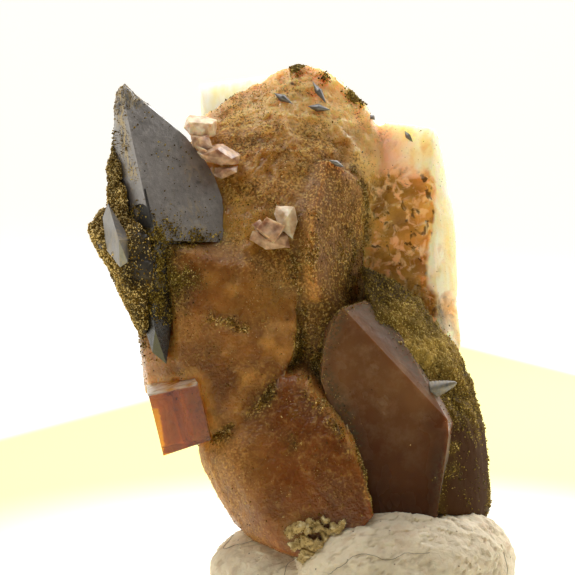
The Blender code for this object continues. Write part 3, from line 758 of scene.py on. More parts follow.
def carbonate(name, dark, light):
    """Pinkish-brown rhombs: faintly zoned, slightly see-through, with pearly faces."""
    material, tree, shader, _, place = new_material(name)
    zones = add(tree, "TexNoise", {"Scale": per(0.35), "Detail": 8.0}, {"Vector": place})
    share = add(tree, "MapRange", {"From Min": 0.36, "From Max": 0.64}, {"Value": zones.outputs[0]})
    body = blend(tree, share.outputs[0], colour(dark), colour(light))
    bump = add(tree, "Bump", {"Strength": 0.5, "Distance": 0.03 * MM}, {"Height": zones.outputs[0]})
    tree.links.new(body, shader.inputs["Base Color"])
    tree.links.new(bump.outputs[0], shader.inputs["Normal"])
    shader.inputs["Roughness"].default_value = 0.3
    shader.inputs["IOR"].default_value = 1.7
    shader.inputs["Specular IOR Level"].default_value = 0.4
    shader.inputs["Subsurface Weight"].default_value = 1.0
    shader.inputs["Subsurface Radius"].default_value = (1.0, 0.7, 0.5)
    shader.inputs["Subsurface Scale"].default_value = 0.4 * MM
    return material


def putty():
    """Chalky modelling putty: warm white, grey where fingers smeared it, dark specks, and pores.
    The creases pressed into it are painted darker, as painted shade."""
    material, tree, shader, _, place = new_material("mounting_putty")
    smear = add(tree, "TexNoise", {"Scale": per(3.0), "Detail": 6.0, "Distortion": 1.5},
                {"Vector": place})
    share = add(tree, "MapRange", {"From Min": 0.46, "From Max": 0.7, "To Max": 0.45},
                {"Value": smear.outputs[0]})
    body = blend(tree, share.outputs[0], colour("#f0e1c6"), colour("#b6a891"))
    crease = add(tree, "Attribute", {"attribute_name": "crease"}).outputs["Fac"]
    # Painted shade: the creases are darkened towards #a8936f.
    painted_crease_shade = add(tree, "Math", {"operation": "MULTIPLY", 1: 0.45}, {0: crease})
    body = blend(tree, painted_crease_shade.outputs[0], body, colour("#a8936f"))
    veins = add(tree, "TexNoise", {"Scale": per(0.7), "Detail": 8.0, "Distortion": 1.0},
                {"Vector": place})
    pink = add(tree, "MapRange", {"From Min": 0.54, "From Max": 0.66, "To Max": 0.45},
               {"Value": veins.outputs[0]})
    body = blend(tree, pink.outputs[0], body, colour("#d8bda0"))
    specks = add(tree, "TexVoronoi", {"Scale": per(0.5)}, {"Vector": place})
    dots = add(tree, "MapRange", {"From Min": 0.06, "From Max": 0.1, "To Min": 0.8, "To Max": 0.0},
               {"Value": specks.outputs["Distance"]})
    body = blend(tree, dots.outputs[0], body, colour("#6d563c"))
    fine = add(tree, "TexNoise", {"Scale": per(0.25), "Detail": 8.0, "Distortion": 0.8},
               {"Vector": place})
    bump = add(tree, "Bump", {"Strength": 1.0, "Distance": 0.07 * MM}, {"Height": fine.outputs[0]})
    tree.links.new(body, shader.inputs["Base Color"])
    tree.links.new(bump.outputs[0], shader.inputs["Normal"])
    shader.inputs["Roughness"].default_value = 0.8
    shader.inputs["Subsurface Weight"].default_value = 0.5
    shader.inputs["Subsurface Radius"].default_value = (1.0, 0.8, 0.6)
    shader.inputs["Subsurface Scale"].default_value = 0.25 * MM
    return material


crust = chlorite("chlorite_crust", "#1c1305", "#5a4410", "#94752a", "#3f3b38")
brown_crust = chlorite("chlorite_brown_crust", "#3a2a0e", "#8c6e2e", "#b89a4e", "#42260d", 0.9)
moss_flakes = chlorite("chlorite_moss_flakes", "#554314", "#a08434", "#dcc070")
foot_crust = chlorite("chlorite_foot_crust", "#8f7640", "#cdb27a", "#f6e6b8")
flakes = chlorite("chlorite_flakes", "#3d2b0a", "#8e6c1c", "#ffe29a")
dark_flakes = chlorite("chlorite_dark_flakes", "#35270a", "#8a6e1e", "#ecd070")
rhomb_skin = carbonate("iron_carbonate", "#9a7056", "#e0be9c")
pale_rhomb_skin = carbonate("pale_carbonate", "#c2a07a", "#f6e2c2")
putty_skin = putty()
print("crust materials:", crust.name, flakes.name, dark_flakes.name)

# %% [markdown]
# ## Making a piece
#
# Every finished piece goes through one function: arrays become a mesh, the mesh becomes an
# object at the origin, and the object rides on the one rigid body and stands for its solid.

# %% Arrays to a piece


def make_piece(name, points, faces, material, slot, nodes=(), bevel=0.0, smooth=True, **values):
    """Mesh from arrays in mm; each extra value is stored as a number at every point."""
    mesh = bpy.data.meshes.new(name)
    mesh.vertices.add(len(points))
    mesh.vertices.foreach_set("co", (points * MM).astype(np.float32).ravel())
    mesh.loops.add(faces.size)
    mesh.loops.foreach_set("vertex_index", faces.astype(np.int32).ravel())
    mesh.polygons.add(len(faces))
    mesh.polygons.foreach_set("loop_start", np.arange(0, faces.size, 3, dtype=np.int32))
    mesh.polygons.foreach_set("loop_total", np.full(len(faces), 3, np.int32))
    mesh.update(calc_edges=True)
    for label, numbers in values.items():
        layer = mesh.attributes.new(label, "FLOAT", "POINT")
        layer.data.foreach_set("value", np.asarray(numbers, np.float32))
    mesh.materials.append(material)
    if smooth:
        mesh.shade_smooth()
        mesh.set_sharp_from_angle(angle=math.radians(26))
    piece = bpy.data.objects.new(name, mesh)
    bpy.context.scene.collection.objects.link(piece)
    if bevel:
        rounding = piece.modifiers.new("edge", "BEVEL")
        rounding.width = bevel * MM
        rounding.segments = 2
        rounding.limit_method = "ANGLE"
        rounding.angle_limit = math.radians(26)
        rounding.harden_normals = True
    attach(piece, "root")
    if nodes:
        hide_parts(*nodes)
    print(f"{name}: {len(faces)} triangles")
    return piece


# %% [markdown]
# ## The quartz crystals
#
# Each crystal is a list of corners on the front view. Where two crystals meet, chlorite has
# gathered, so dust is stored along the lines where they meet.

# %% Corners of the quartz crystals
UPPER_MASS = spots([
    (-5.8, 19.5, 4.0), (-5.1, 20.1, 4.4), (-4.0, 20.3, 4.6), (-2.7, 20.8, 4.6),
    (-2.5, 21.5, 4.8), (-1.9, 21.6, 4.8), (-1.3, 21.1, 4.6), (0.1, 20.7, 4.4),
    (1.0, 19.7, 4.2), (1.7, 18.5, 4.2), (1.9, 17.6, 4.2), (1.8, 15.0, 4.2),
    (1.2, 12.0, 4.0), (-7.0, 17.6, 3.4), (-7.6, 15.0, 3.2), (-8.0, 12.0, 2.6),
    (-4.8, 18.4, 2.2), (-2.4, 19.4, 2.8), (-0.6, 18.6, 2.6), (-5.0, 16.0, 1.0),
    (-3.4, 16.4, 0.7), (-1.6, 16.2, 0.8), (-0.2, 15.4, 1.4), (-2.2, 13.6, 0.2),
    (-3.6, 13.2, 0.2), (-1.4, 11.4, 0.3), (-5.0, 18.6, 6.0), (-2.0, 20.4, 6.2),
    (0.4, 18.6, 6.0), (1.2, 14.0, 6.4), (-2.0, 14.0, 7.2), (-6.4, 15.0, 5.8),
    (-6.0, 10.0, 6.0), (0.0, 9.0, 6.2),
])
MIDDLE = spots([
    (-7.4, 14.2, -0.75), (-6.2, 14.3, 0.15), (-4.8, 14.15, 1.05), (-4.36, 13.0, 0.1),
    (-4.3, 10.8, -0.9), (-2.2, 12.6, 0.0), (-2.1, 10.1, -0.4), (-2.7, 9.0, -0.7),
    (-4.2, 7.2, -1.1), (-6.1, 6.4, -0.7), (-7.0, 9.6, -0.4), (-7.2, 12.0, -0.4),
    (-7.4, 12.6, 4.0), (-2.6, 12.8, 4.4), (-6.6, 6.4, 4.2), (-2.8, 6.6, 4.6),
])
SHADED = spots([
    (-1.45, 15.5, -0.05), (-1.5, 14.6, -0.45), (-1.6, 13.4, -0.5), (-1.28, 12.0, -0.3),
    (-0.9, 17.6, 1.4), (0.1, 17.0, 2.1), (0.5, 16.4, 2.5), (0.64, 15.0, 2.7),
    (0.45, 13.4, 2.5), (0.3, 11.6, 1.8), (-3.0, 15.6, 1.4), (-2.8, 11.8, 0.8),
    (-1.0, 11.0, 4.4), (0.4, 16.0, 4.6), (-2.4, 17.4, 3.6),
])
HOLLOW = spots([
    (-2.3, 12.2, 0.3), (-1.2, 12.3, 0.1), (-0.2, 12.2, 0.7), (0.0, 11.0, 0.8), (-0.8, 9.4, 0.5),
    (-0.6, 8.0, 0.4), (0.3, 6.0, 0.2), (-2.2, 9.2, 0.5), (-2.4, 11.0, 0.4), (-1.4, 10.6, 0.0),
    (-2.4, 12.0, 4.0), (0.4, 11.6, 4.2), (0.6, 5.0, 3.6), (-2.0, 8.6, 4.0),
])
FLANK = spots([
    (-8.5, 11.0, 1.4), (-8.35, 10.2, 0.9), (-8.1, 8.5, 0.7), (-7.3, 8.7, -0.3),
    (-6.4, 9.0, -0.5), (-6.8, 11.0, -0.4), (-7.6, 11.4, 0.1), (-8.3, 12.6, 2.2),
    (-8.2, 8.2, 3.4), (-7.9, 12.0, 4.4), (-6.0, 7.8, 4.2), (-6.0, 12.0, 4.6),
])
BLOCK = spots([
    (-8.07, 8.24, -0.7), (-6.08, 8.68, -1.4), (-5.56, 6.4, -1.4), (-7.46, 5.77, -0.7),
    (-8.12, 8.56, 0.5), (-6.3, 8.98, -0.2), (-7.3, 6.2, 1.4), (-5.4, 6.6, 1.6),
    (-7.8, 8.5, 1.6), (-5.6, 8.9, 1.8),
])
FRONT = spots([
    (-2.68, 8.96, -0.8), (-2.12, 8.88, -0.9), (-0.04, 6.2, -2.3), (0.5, 4.8, -2.6),
    (0.9, 3.4, -2.7), (-1.9, 9.3, -0.1), (-1.28, 8.7, -0.5), (0.1, 6.6, -1.4),
    (-4.2, 7.2, -1.4), (-5.2, 5.6, -1.7), (-6.32, 6.1, -0.1), (-5.88, 5.0, 0.0),
    (-5.4, 4.3, 0.1), (-4.6, 3.1, -0.2), (-4.28, 2.5, -0.6), (-3.5, 2.0, -1.8),
    (-2.7, 1.62, -2.5), (-2.0, 1.5, -2.6), (-0.4, 1.9, -2.6), (-4.0, 4.6, -2.4),
    (-6.0, 6.2, 3.6), (-1.6, 9.2, 3.6), (0.6, 4.0, 3.2), (-4.4, 2.6, 2.6), (-2.0, 1.6, 1.6),
])


def right_face(across, up):
    """The right crystal's one large face is a plane through its long bevelled edge."""
    return (across, up, -2.302 - 0.11 * across + 0.143 * up)


RIGHT = spots([right_face(*reading) for reading in (
    (-0.28, 11.68), (1.3, 9.9), (3.0, 8.08), (3.9, 7.2), (-0.75, 10.9), (-1.0, 10.2),
    (-1.15, 8.8), (-0.2, 7.2), (0.7, 4.8), (0.9, 2.8), (3.95, 6.6), (3.65, 5.4), (3.4, 3.0),
)] + [
    (0.6, 11.95, 0.3), (1.4, 11.65, 0.45), (3.7, 7.95, -0.75), (4.1, 7.1, -0.9),
    (-1.0, 11.0, 0.4), (-1.3, 9.0, 0.3), (-0.6, 11.4, 3.6), (1.8, 11.2, 3.8),
    (4.2, 7.4, 3.4), (4.2, 2.8, 2.8), (0.4, 2.6, 2.6), (3.9, 4.0, -0.9),
])
PALE_RIGHT = spots([
    (1.4, 19.2, 4.2), (2.0, 18.8, 3.9), (2.6, 18.7, 3.8), (3.32, 18.9, 3.8),
    (3.5, 18.7, 4.2), (3.7, 17.2, 4.0), (4.2, 15.4, 4.0), (4.35, 13.0, 4.0),
    (4.45, 10.2, 3.8), (3.2, 16.1, 2.9), (2.7, 13.4, 2.7), (1.0, 15.8, 3.2),
    (1.2, 12.4, 2.8), (2.6, 9.4, 2.6), (3.9, 8.4, 2.8), (1.2, 18.6, 5.6),
    (2.9, 17.8, 6.0), (4.0, 14.0, 6.4), (3.4, 8.2, 5.2), (1.0, 12.0, 6.9),
    (0.7, 18.2, 4.6), (2.2, 15.6, 6.9),
])
PALE_LEFT = spots([
    (-6.0, 20.6, 5.6), (-4.2, 20.85, 5.8), (-2.6, 21.0, 5.8), (-5.7, 18.8, 5.2),
    (-5.7, 19.7, 6.9), (-3.9, 19.9, 7.6), (-2.2, 20.2, 6.9), (-5.9, 16.6, 5.6),
    (-5.3, 14.6, 6.6), (-3.3, 13.8, 7.6), (-2.0, 19.0, 5.4), (-4.2, 12.6, 6.2),
    (-2.0, 15.6, 7.2),
])
FOOT = spots([
    (-3.6, 2.2, 0.4), (3.4, 2.4, 0.4), (4.6, 2.4, 2.0), (4.0, 2.0, 4.2),
    (-2.6, 2.0, 4.6), (-4.4, 5.0, 3.6), (4.4, 6.4, 4.6), (-4.6, 7.0, 5.6),
    (2.0, 9.0, 6.2), (-3.0, 9.6, 6.4), (4.4, 6.0, 1.2), (-1.0, 4.0, -0.4),
])

LEFT_CRUST = spots([
    (-10.65, 15.1, 1.4), (-10.2, 15.6, 1.4), (-9.9, 15.9, 1.5), (-9.3, 16.0, 0.9),
    (-8.7, 15.25, -0.7), (-8.0, 14.7, -1.2), (-7.75, 13.8, -1.35), (-8.0, 12.2, -1.4),
    (-8.0, 11.3, -1.2), (-8.2, 10.5, -0.5), (-8.22, 10.3, 0.8), (-8.24, 11.1, 1.3),
    (-8.62, 12.3, 1.3), (-9.34, 13.1, 1.3), (-10.08, 13.8, 1.3), (-10.42, 14.5, 1.3),
    (-9.6, 14.0, -0.7), (-8.75, 12.6, -1.1), (-8.7, 14.0, -1.5), (-9.4, 15.4, 2.8),
    (-8.8, 12.6, 3.0), (-10.1, 14.4, 2.5),
])
RIGHT_CRUST = spots([
    (0.2, 13.9, 1.6), (0.8, 13.4, 1.2), (2.0, 13.2, 1.8), (2.6, 12.6, 1.8),
    (3.2, 11.6, 1.8), (3.8, 10.4, 1.8), (4.5, 10.0, 2.0), (5.05, 8.9, 2.0),
    (5.2, 8.0, 2.0), (5.5, 7.0, 2.0), (5.75, 6.0, 2.0), (5.85, 4.8, 2.0),
    (5.9, 3.6, 2.0), (5.9, 2.9, 2.0), (0.6, 12.1, 0.0), (1.6, 11.7, 0.2),
    (3.6, 8.0, -0.9), (4.0, 6.4, -1.4), (3.8, 5.0, -2.0), (3.7, 3.0, -2.3), (4.5, 3.0, -1.7),
    (2.8, 10.8, 0.3), (4.6, 8.4, 0.2), (5.2, 6.0, 0.0), (5.4, 3.2, -0.2),
    (4.4, 9.0, 4.4), (5.2, 6.0, 4.2), (5.2, 3.2, 3.8), (3.6, 5.0, 4.6),
])


def six_sided(root, end, radius, turn=12):
    """Corners of a short hexagonal prism with one point: two rings of six and the end."""
    axis = (end - root) / np.linalg.norm(end - root)
    side = np.cross(axis, (1, 0, 0))
    side /= np.linalg.norm(side)
    angle = np.radians(60 * np.arange(6) + turn)[:, None]
    ring = radius * (side * np.cos(angle) + np.cross(axis, side) * np.sin(angle))
    return np.vstack([end[None], root + ring, root + 0.55 * (end - root) + ring])


BACK = six_sided(spot(-2.4, 6.4, 3.0), spot(-3.4, 11.6, 7.6), 2.5)
CRYSTALS = {"middle": MIDDLE, "shaded": SHADED, "flank": FLANK, "block": BLOCK, "front": FRONT,
            "right": RIGHT, "pale_right": PALE_RIGHT, "pale_left": PALE_LEFT, "back": BACK,
            "upper": UPPER_MASS, "foot": FOOT, "hollow": HOLLOW}
print(len(CRYSTALS), "intergrown bodies of quartz")

# %% The intergrown body


def near(points, across, up, radius):
    """1 at a place of the front view, falling off as a bell within about radius mm."""
    found = front_view(points)
    return np.exp(-((found[0] - across) ** 2 + (found[1] - up) ** 2) / radius ** 2)


def along(points, path, radius):
    """The same along a line of places: the largest bell over the line's straight parts."""
    found = np.stack(front_view(points)[:2], axis=-1)
    path = np.array(path, float)
    gaps = []
    for start, end in zip(path[:-1], path[1:]):
        way = end - start
        share = np.clip((found - start) @ way / (way @ way), 0, 1)
        gaps.append(((found - start - share[:, None] * way) ** 2).sum(1))
    return np.exp(-np.min(gaps, axis=0) / radius ** 2)


def ramp(values, low, high):
    """0 at low, 1 at high, even between them, and flat beyond."""
    return np.clip((values - low) / (high - low), 0, 1)


def flat_sides(corners):
    return hull(corners)[2:]


def front_softness(points):
    """The front crystal has one crisp edge, on its right; leftward it is etched and round."""
    across, up, _ = front_view(points)
    inward = -2.12 + (8.88 - up) * 0.551 - across
    return 0.015 + 0.16 * ramp(inward, 0.4, 1.9)


def body_melt(points):
    """The middle crystal runs into the upper mass without an edge; elsewhere joints are tight."""
    across, up, _ = front_view(points)
    return 0.07 + 0.4 * ramp(up, 11.5, 13.5) * ramp(across, -1.7, -2.6) * ramp(up, 16.5, 15.0)


BODY = {"upper": (0.2, 0.2), "middle": (0.06, 0.0), "shaded": (0.04, 0.0),
        "flank": (0.05, 0.0), "back": (0.02, 0.0), "front": (front_softness, 0.05),
        "pale_right": (0.03, 0.0), "foot": (0.2, 0.0), "hollow": (0.1, 0.0)}
body_planes = []
for name, (soft, swell) in BODY.items():
    normals, offsets = flat_sides(CRYSTALS[name])
    body_planes.append(((normals, offsets + swell), soft))
body_points, body_faces, shares = grown_body(body_planes, spot(-1.2, 4.2, 2.4),
                                             spot(-2.3, 18.2, 4.4), 255, 385, body_melt, 0.58)
body_share = dict(zip(BODY, shares.T))
print("body:", len(body_points), "points, shares",
      {name: round(float(part.mean()), 2) for name, part in body_share.items()})

# %% Relief of the intergrown body
RIDGE = [(-1.45, 15.5), (-1.5, 14.6), (-1.6, 13.4), (-1.28, 12.0)]
CRUMB_LINES = [[(-1.9, 12.2), (-2.05, 10.0), (-2.68, 9.0), (-3.2, 8.2), (-4.2, 7.2), (-5.4, 6.5)],
               [(-2.4, 9.0), (-1.8, 8.7), (-0.6, 7.0), (0.0, 6.2), (0.9, 4.2)],
               [(-0.3, 11.7), (-0.9, 10.2), (-1.3, 9.5), (-0.5, 8.1), (0.3, 6.5)], RIDGE,
               [(-5.5, 11.3), (-4.6, 11.05), (-3.8, 10.75)],
               [(-2.35, 14.1), (-2.25, 13.1), (-2.0, 12.3)]]
normals = point_normals(body_points, body_faces)
across, up, depth = front_view(body_points)
upper, lower = body_share["upper"], body_share["front"]
facing = ramp(depth, 5.0, 3.6)
frosted = lower * ramp(across, -2.9, -4.6)
crumbs = np.max([along(body_points, path, 0.24) for path in CRUMB_LINES], axis=0) * facing
# bright: painted highlights along the lit edge of the front crystal and the shaded crystal's ridge.
bright_edges = [[(-1.9, 8.95), (-0.7, 7.5), (0.2, 6.3), (0.5, 5.6)], [(x - 0.12, y) for x, y in RIDGE]]
bright = np.max([along(body_points, path, 0.2) for path in bright_edges], axis=0) * facing
crumbs = crumbs * np.clip(0.5 + 2 * cloud(body_points, 0.6, 35), 0, 1.4)
rusty_edge = 2.9 + 0.4 * ramp(up, 13.4, 15.0) + 0.6 * ramp(up, 13.0, 11.0)
spongy = ramp(across, 0.3, 1.0) * ramp(across - rusty_edge, 0.3, -0.3) * ramp(up, 10.6, 12.0)
spongy = np.clip(1.6 * spongy * ramp(up, 17.6, 16.2) + 0.7 * cloud(body_points, 1.2, 36), 0, 1)
stripes = [[(3.2, 16.1), (2.68, 13.4)], [(3.48, 16.1), (3.28, 12.0)]]
stripes = np.max([along(body_points, path, 0.09) for path in stripes], axis=0)
spongy = spongy * ramp(up + 0.6 * cloud(body_points, 1.0, 34), 18.6, 17.4) * (1 - 0.55 * stripes)
spongy = np.clip(spongy + 0.5 * near(body_points, 3.9, 11.7, 0.8) + 0.12 * ramp(up, 16.5, 17.5)
                 * ramp(across, 3.2, 2.4) * ramp(across, 0.6, 1.2), 0, 1)
spongy *= facing * np.maximum(body_share["pale_right"],
                             ramp(across, 0.45, 0.7) * ramp(up, 17.4, 16.6) * ramp(up, 12.4, 13.4))
terraces = np.clip(3 * cloud(body_points, 1.5, 29), -1, 1)
rough = 0.14 * cloud(body_points, 1.8, 3) + 0.06 * terraces + 0.09 * cloud(body_points, 0.45, 17)
smooth = 0.05 * cloud(body_points, 1.6, 5) + 0.012 * cloud(body_points, 0.3, 6)
lift = upper * rough + (1 - upper) * smooth + 0.1 * frosted * cloud(body_points, 0.8, 7)
lift += 0.1 * crumbs * (0.6 + cloud(body_points, 0.3, 37))
lift += 0.07 * body_share["middle"] * ramp(across, -4.45, -4.3) * ramp(up, 10.4, 11.2)
lift += spongy * (0.1 * cloud(body_points, 0.9, 87) + 0.06 * cloud(body_points, 0.4, 88) - 0.15)
body_points = body_points + normals * lift[:, None]

# %% Colours of the intergrown body
across, up, depth = front_view(body_points)
# Painted glow: the upper mass is painted cream along its left, top and right edges, as light shining through them.
edge_left = ramp(across, -5.0, -6.6) * ramp(up, 12.0, 15.0)
edge_right = np.maximum(ramp(across, -0.4, 1.0) * ramp(up, 15.5, 17.5),
                        ramp(across, -1.9, 0.0) * ramp(up, 18.2, 19.2))
thin = upper * (0.6 * edge_left + 0.6 * ramp(up, 18.2, 20.4) + 0.9 * edge_right)
thin = np.clip(thin * (0.9 + 0.6 * cloud(body_points, 1.1, 8)), 0, 1)
moss = ramp(outside(body_points, LEFT_CRUST), 0.7, 0.05) * ramp(across, -6.0, -7.2)
moss = moss + ramp(outside(body_points, RIGHT_CRUST), 1.0, 0.1) + 0.7 * near(body_points, -2.4, 6.2, 0.4)
spill = near(body_points, -7.2, 14.0, 0.7) + 0.7 * near(body_points, -6.6, 13.0, 0.9)
spill += 0.8 * along(body_points, [(-6.7, 14.4), (-6.95, 13.3), (-7.15, 12.2)], 0.32)
spill = spill * np.clip(0.4 + 1.6 * cloud(body_points, 0.6, 38), 0, 1) * facing
# A dark line in the crevice along the shaded crystal's right outline: chlorite and painted shade.
moss += 0.9 * along(body_points, [(0.1, 17.3), (0.55, 16.5), (0.68, 15.5), (0.6, 13.9)], 0.12)
# Darker beside the anatase tail: chlorite dust and painted shade.
moss += 0.5 * along(body_points, [(-6.9, 14.0), (-6.8, 12.8), (-7.0, 11.6)], 0.5)
moss += 0.25 * near(body_points, -2.9, 13.1, 0.9) + 0.2 * near(body_points, -3.6, 11.4, 0.7)
moss = moss * np.clip(0.8 + 1.2 * cloud(body_points, 0.5, 19), 0, 1) + 0.55 * crumbs * (1 - bright)
moss = np.clip(moss + 0.5 * spill + 0.6 * body_share["hollow"] * ramp(up, 8.5, 9.6), 0, 1)
dust = 0.1 + 0.5 * upper + 0.9 * cloud(body_points, 1.0, 21) * (0.4 + upper) - 0.9 * thin
dust = dust + 0.6 * body_share["shaded"] + crumbs + 0.5 * frosted + 0.6 * moss
# strip: a painted highlight along the glassy side face of the front crystal; the dust is cleared there.
strip = along(body_points, [(-1.85, 8.75), (-0.75, 7.35), (0.1, 6.2), (0.45, 5.4)], 0.14) * facing
dust = dust * (1 - 0.85 * strip)
dust = np.clip(dust * (1 - 0.85 * body_share["pale_right"]), 0, 1)
# glow is painted light: light patches in the middle crystal, on the flank and frosted part, near the foot and behind
# the clear block, and the highlights of bright and strip.
glow = np.clip(1.6 * cloud(body_points, 0.9, 27) - 0.5, 0, 1) * body_share["middle"]
glow += 0.8 * near(body_points, -4.7, 12.4, 0.3) + 0.5 * near(body_points, -5.6, 12.9, 0.4)
glow += 0.65 * near(body_points, -3.0, 12.8, 0.9) + 0.4 * near(body_points, -2.4, 16.4, 1.0)
glow += 0.38 * body_share["flank"] + 0.3 * frosted + 0.4 * near(body_points, -2.5, 2.8, 0.6) + 0.9 * ramp(outside(body_points, BLOCK), 0.5, 0.1)
glow = np.clip(glow + 0.45 * bright + 0.5 * strip, 0, 1) * ramp(depth, 5.0, 3.6)
shade = body_share["shaded"] + 0.9 * near(body_points, -2.2, 7.44, 0.22)
shade = shade - bright
# deep: the front crystal's own darker brown, and darker beside the anatase, partly painted shade.
deep = np.clip(lower * (1 - frosted) + 0.9 * near(body_points, -6.4, 12.7, 1.0), 0, 1)
sponge = spongy * np.maximum(ramp(across, 3.9, 3.3), ramp(up, 13.5, 12.5))
back_stain = ramp(depth, 5.0, 6.2) * np.clip(0.55 + 0.9 * cloud(body_points, 1.3, 39), 0, 0.9)
make_piece("quartz_intergrown_body", body_points, body_faces, dusted, "smoky_quartz",
           ["smoky_quartz"], tan=upper, deep=deep, shade=np.clip(shade, 0, 1),
           thin=thin, dust=dust, glow=glow, pale=body_share["pale_right"] * (1 - back_stain),
           sponge=sponge, moss=moss)

# %% The free crystal at the right
surfaces = {"body": (body_points, body_faces)}
points, faces = crystal_surface(RIGHT, 16, 0.014, 41)
left_edge = along(points, CRUMB_LINES[2], 0.3) + 0.6 * along(points, [(1.0, 11.9), (4.2, 7.4)], 0.3)
across, up, _ = front_view(points)
strip_dust = ramp(across * 0.71 + up * 0.65, 7.55, 7.75) * ramp(up, 5.5, 9.0)
top_dust = along(points, [(-0.3, 11.65), (0.6, 11.95), (1.4, 11.5), (2.2, 10.6)], 0.25)
border = ramp(across, 3.0, 3.8) * ramp(up, 7.0, 5.5)
dust = np.clip(left_edge * 1.2 + 0.3 * cloud(points, 0.9, 61) - 0.1 + 0.5 * strip_dust + border
               + top_dust, 0, 1)
surfaces["right"] = (points, faces)
make_piece("quartz_crystal_right", points, faces, right_quartz, "smoky_quartz",
           ["smoky_quartz"], bevel=0.04, dust=dust,
           shade=np.clip(0.75 * ramp(up, 8.0, 5.0) + 0.5 * ramp(up, 4.6, 3.6) + 0.6 * border
                         + 0.4 * strip_dust, 0, 1))

# %% The clear block and the pale slab
block_points, block_faces = crystal_surface(BLOCK, 10, 0.006, 71)
make_piece("quartz_clear_block", block_points, block_faces, clear, "smoky_quartz",
           ["smoky_quartz"], bevel=0.05)

BLOCK_TOP = [(-8.1, 8.25, -0.72), (-6.1, 8.7, -1.42), (-6.32, 9.02, -0.22), (-8.13, 8.6, 0.48)]
BLOCK_TOP += [(x, y - 0.1, z) for x, y, z in BLOCK_TOP]
points, faces = crystal_surface(spots(BLOCK_TOP), 12, 0.02, 73)
make_piece("quartz_block_rim", points, faces, pale, "smoky_quartz", ["smoky_quartz"],
           rust=np.clip(0.46 + 1.2 * cloud(points * (0.3, 1, 1), 0.25, 74), 0.1, 1))

points, faces = crystal_surface(PALE_LEFT, 14, 0.03, 81)
make_piece("quartz_pale_left", points, faces, pale, "smoky_quartz", ["smoky_quartz"], bevel=0.05,
           rust=ramp(front_view(points)[2], 6.0, 7.0) * np.clip(0.3 + cloud(points, 1.2, 82), 0, 0.8))

# %% [markdown]
# ## Anatase crystals
#
# The large crystal is one steep pyramid. Its right outline is rounded by many small steps, so
# the outline was read at eleven places on one slanting plane, the big face.

# %% The large and the side anatase


def big_face(across, up):
    """The big face recedes evenly to the right and upward."""
    return (across, up, -2.11 + 0.6165 * across + 0.4127 * up)


OUTLINE = [(-8.36, 20.0), (-7.96, 19.64), (-7.12, 18.96), (-6.56, 18.52), (-6.1, 17.95),
           (-5.8, 17.6), (-5.4, 16.88), (-5.12, 16.08), (-4.96, 15.2), (-8.96, 19.6),
           (-8.36, 17.6)]
LARGE = spots([big_face(*reading) for reading in OUTLINE] + [
    (-9.0, 20.68, 1.0), (-9.36, 20.3, 1.5), (-9.3, 19.6, 1.0), (-7.84, 14.4, -1.0),
    (-4.84, 14.3, 0.8), (-6.6, 15.0, 3.7), (-9.68, 15.4, 2.0), (-9.52, 17.6, 1.7),
])
TAIL = spots([
    (-8.6, 14.7, -0.4), (-7.8, 14.5, -0.95), (-7.0, 14.35, -0.3), (-6.75, 14.3, -0.05), (-8.3, 14.9, 1.6),
    (-8.4, 12.6, -0.4), (-8.0, 12.5, -0.95), (-7.3, 12.9, -0.5), (-8.2, 10.9, -0.3),
    (-7.8, 10.8, -0.98), (-7.4, 10.9, -0.42), (-7.34, 9.44, -0.55), (-7.9, 9.9, -0.5),
    (-7.6, 11.0, 0.9), (-8.0, 13.0, 1.6),
])
# A painted shadow: a thin near-black slab on the large crystal's narrow face, where that face lies in shade.
SHADOW_SLAB = spots([
    (-8.1, 16.2, -0.42), (-8.18, 16.45, -0.46), (-8.5, 16.5, 0.0), (-8.45, 14.9, -0.2),
    (-7.94, 14.9, -1.02), (-7.86, 14.9, -0.94), (-8.05, 16.2, 0.1), (-8.3, 15.1, 0.4),
])
SIDE = spots([
    (-9.68, 15.88, 0.2), (-9.9, 15.3, 0.2), (-9.25, 14.4, -1.5), (-8.76, 14.4, -1.0),
    (-8.88, 13.5, -1.2), (-9.2, 13.3, -1.1), (-9.75, 14.0, 0.0), (-9.1, 14.6, 1.2),
])
large_points, large_faces = crystal_surface(LARGE, 16, 0.012, 91)
tip = ramp(front_view(large_points)[1] - 0.3 * front_view(large_points)[0], 22.15, 22.5)
streak = along(large_points, [(-9.15, 19.5), (-9.1, 18.6), (-8.95, 17.8), (-8.65, 17.0)], 0.2)
breaks = cloud(large_points, 0.5, 92, 2, 0.6)
large_points = large_points + point_normals(large_points, large_faces) * (tip * 0.12 * breaks)[:, None]
large_dust = np.clip(0.9 * tip + streak + 0.5 * cloud(large_points, 0.7, 93) - 0.15, 0, 1)
large_shade = 0.5 * tip * ramp(cloud(large_points, 0.6, 94), -0.1, 0.3)
make_piece("anatase_large_crystal", large_points, large_faces, anatase_skin, "anatase",
           ["anatase_large"], bevel=0.03, dust=large_dust, shade=large_shade)
tail_points, tail_faces = crystal_surface(TAIL, 12, 0.03, 97)
tail_dust = np.clip(0.6 * cloud(tail_points, 0.6, 98), 0, 0.4) * ramp(front_view(tail_points)[1], 11.0, 12.0)
make_piece("anatase_large_tail", tail_points, tail_faces, shaded_anatase, "anatase",
           ["anatase_large"], bevel=0.03, dust=tail_dust,
           shade=0.7 * ramp(front_view(tail_points)[1], 12.6, 11.4))
points, faces = crystal_surface(SHADOW_SLAB, 10, 0.01, 99)
make_piece("anatase_large_painted_shadow", points, faces, painted_shadow_anatase, "anatase", ["anatase_large"],
           dust=np.zeros(len(points)), shade=np.full(len(points), 0.7))
side_points, side_faces = crystal_surface(SIDE, 10, 0.008, 95)
side_dust = np.clip(0.2 + 0.7 * cloud(side_points, 0.5, 96) + 0.3 * ramp(front_view(side_points)[1], 14.4, 13.6), 0, 1)
make_piece("anatase_side_crystal", side_points, side_faces, anatase_skin, "anatase",
           ["anatase_side"], bevel=0.03, dust=side_dust, shade=np.full(len(side_points), 0.35))

# %% The tiny anatases


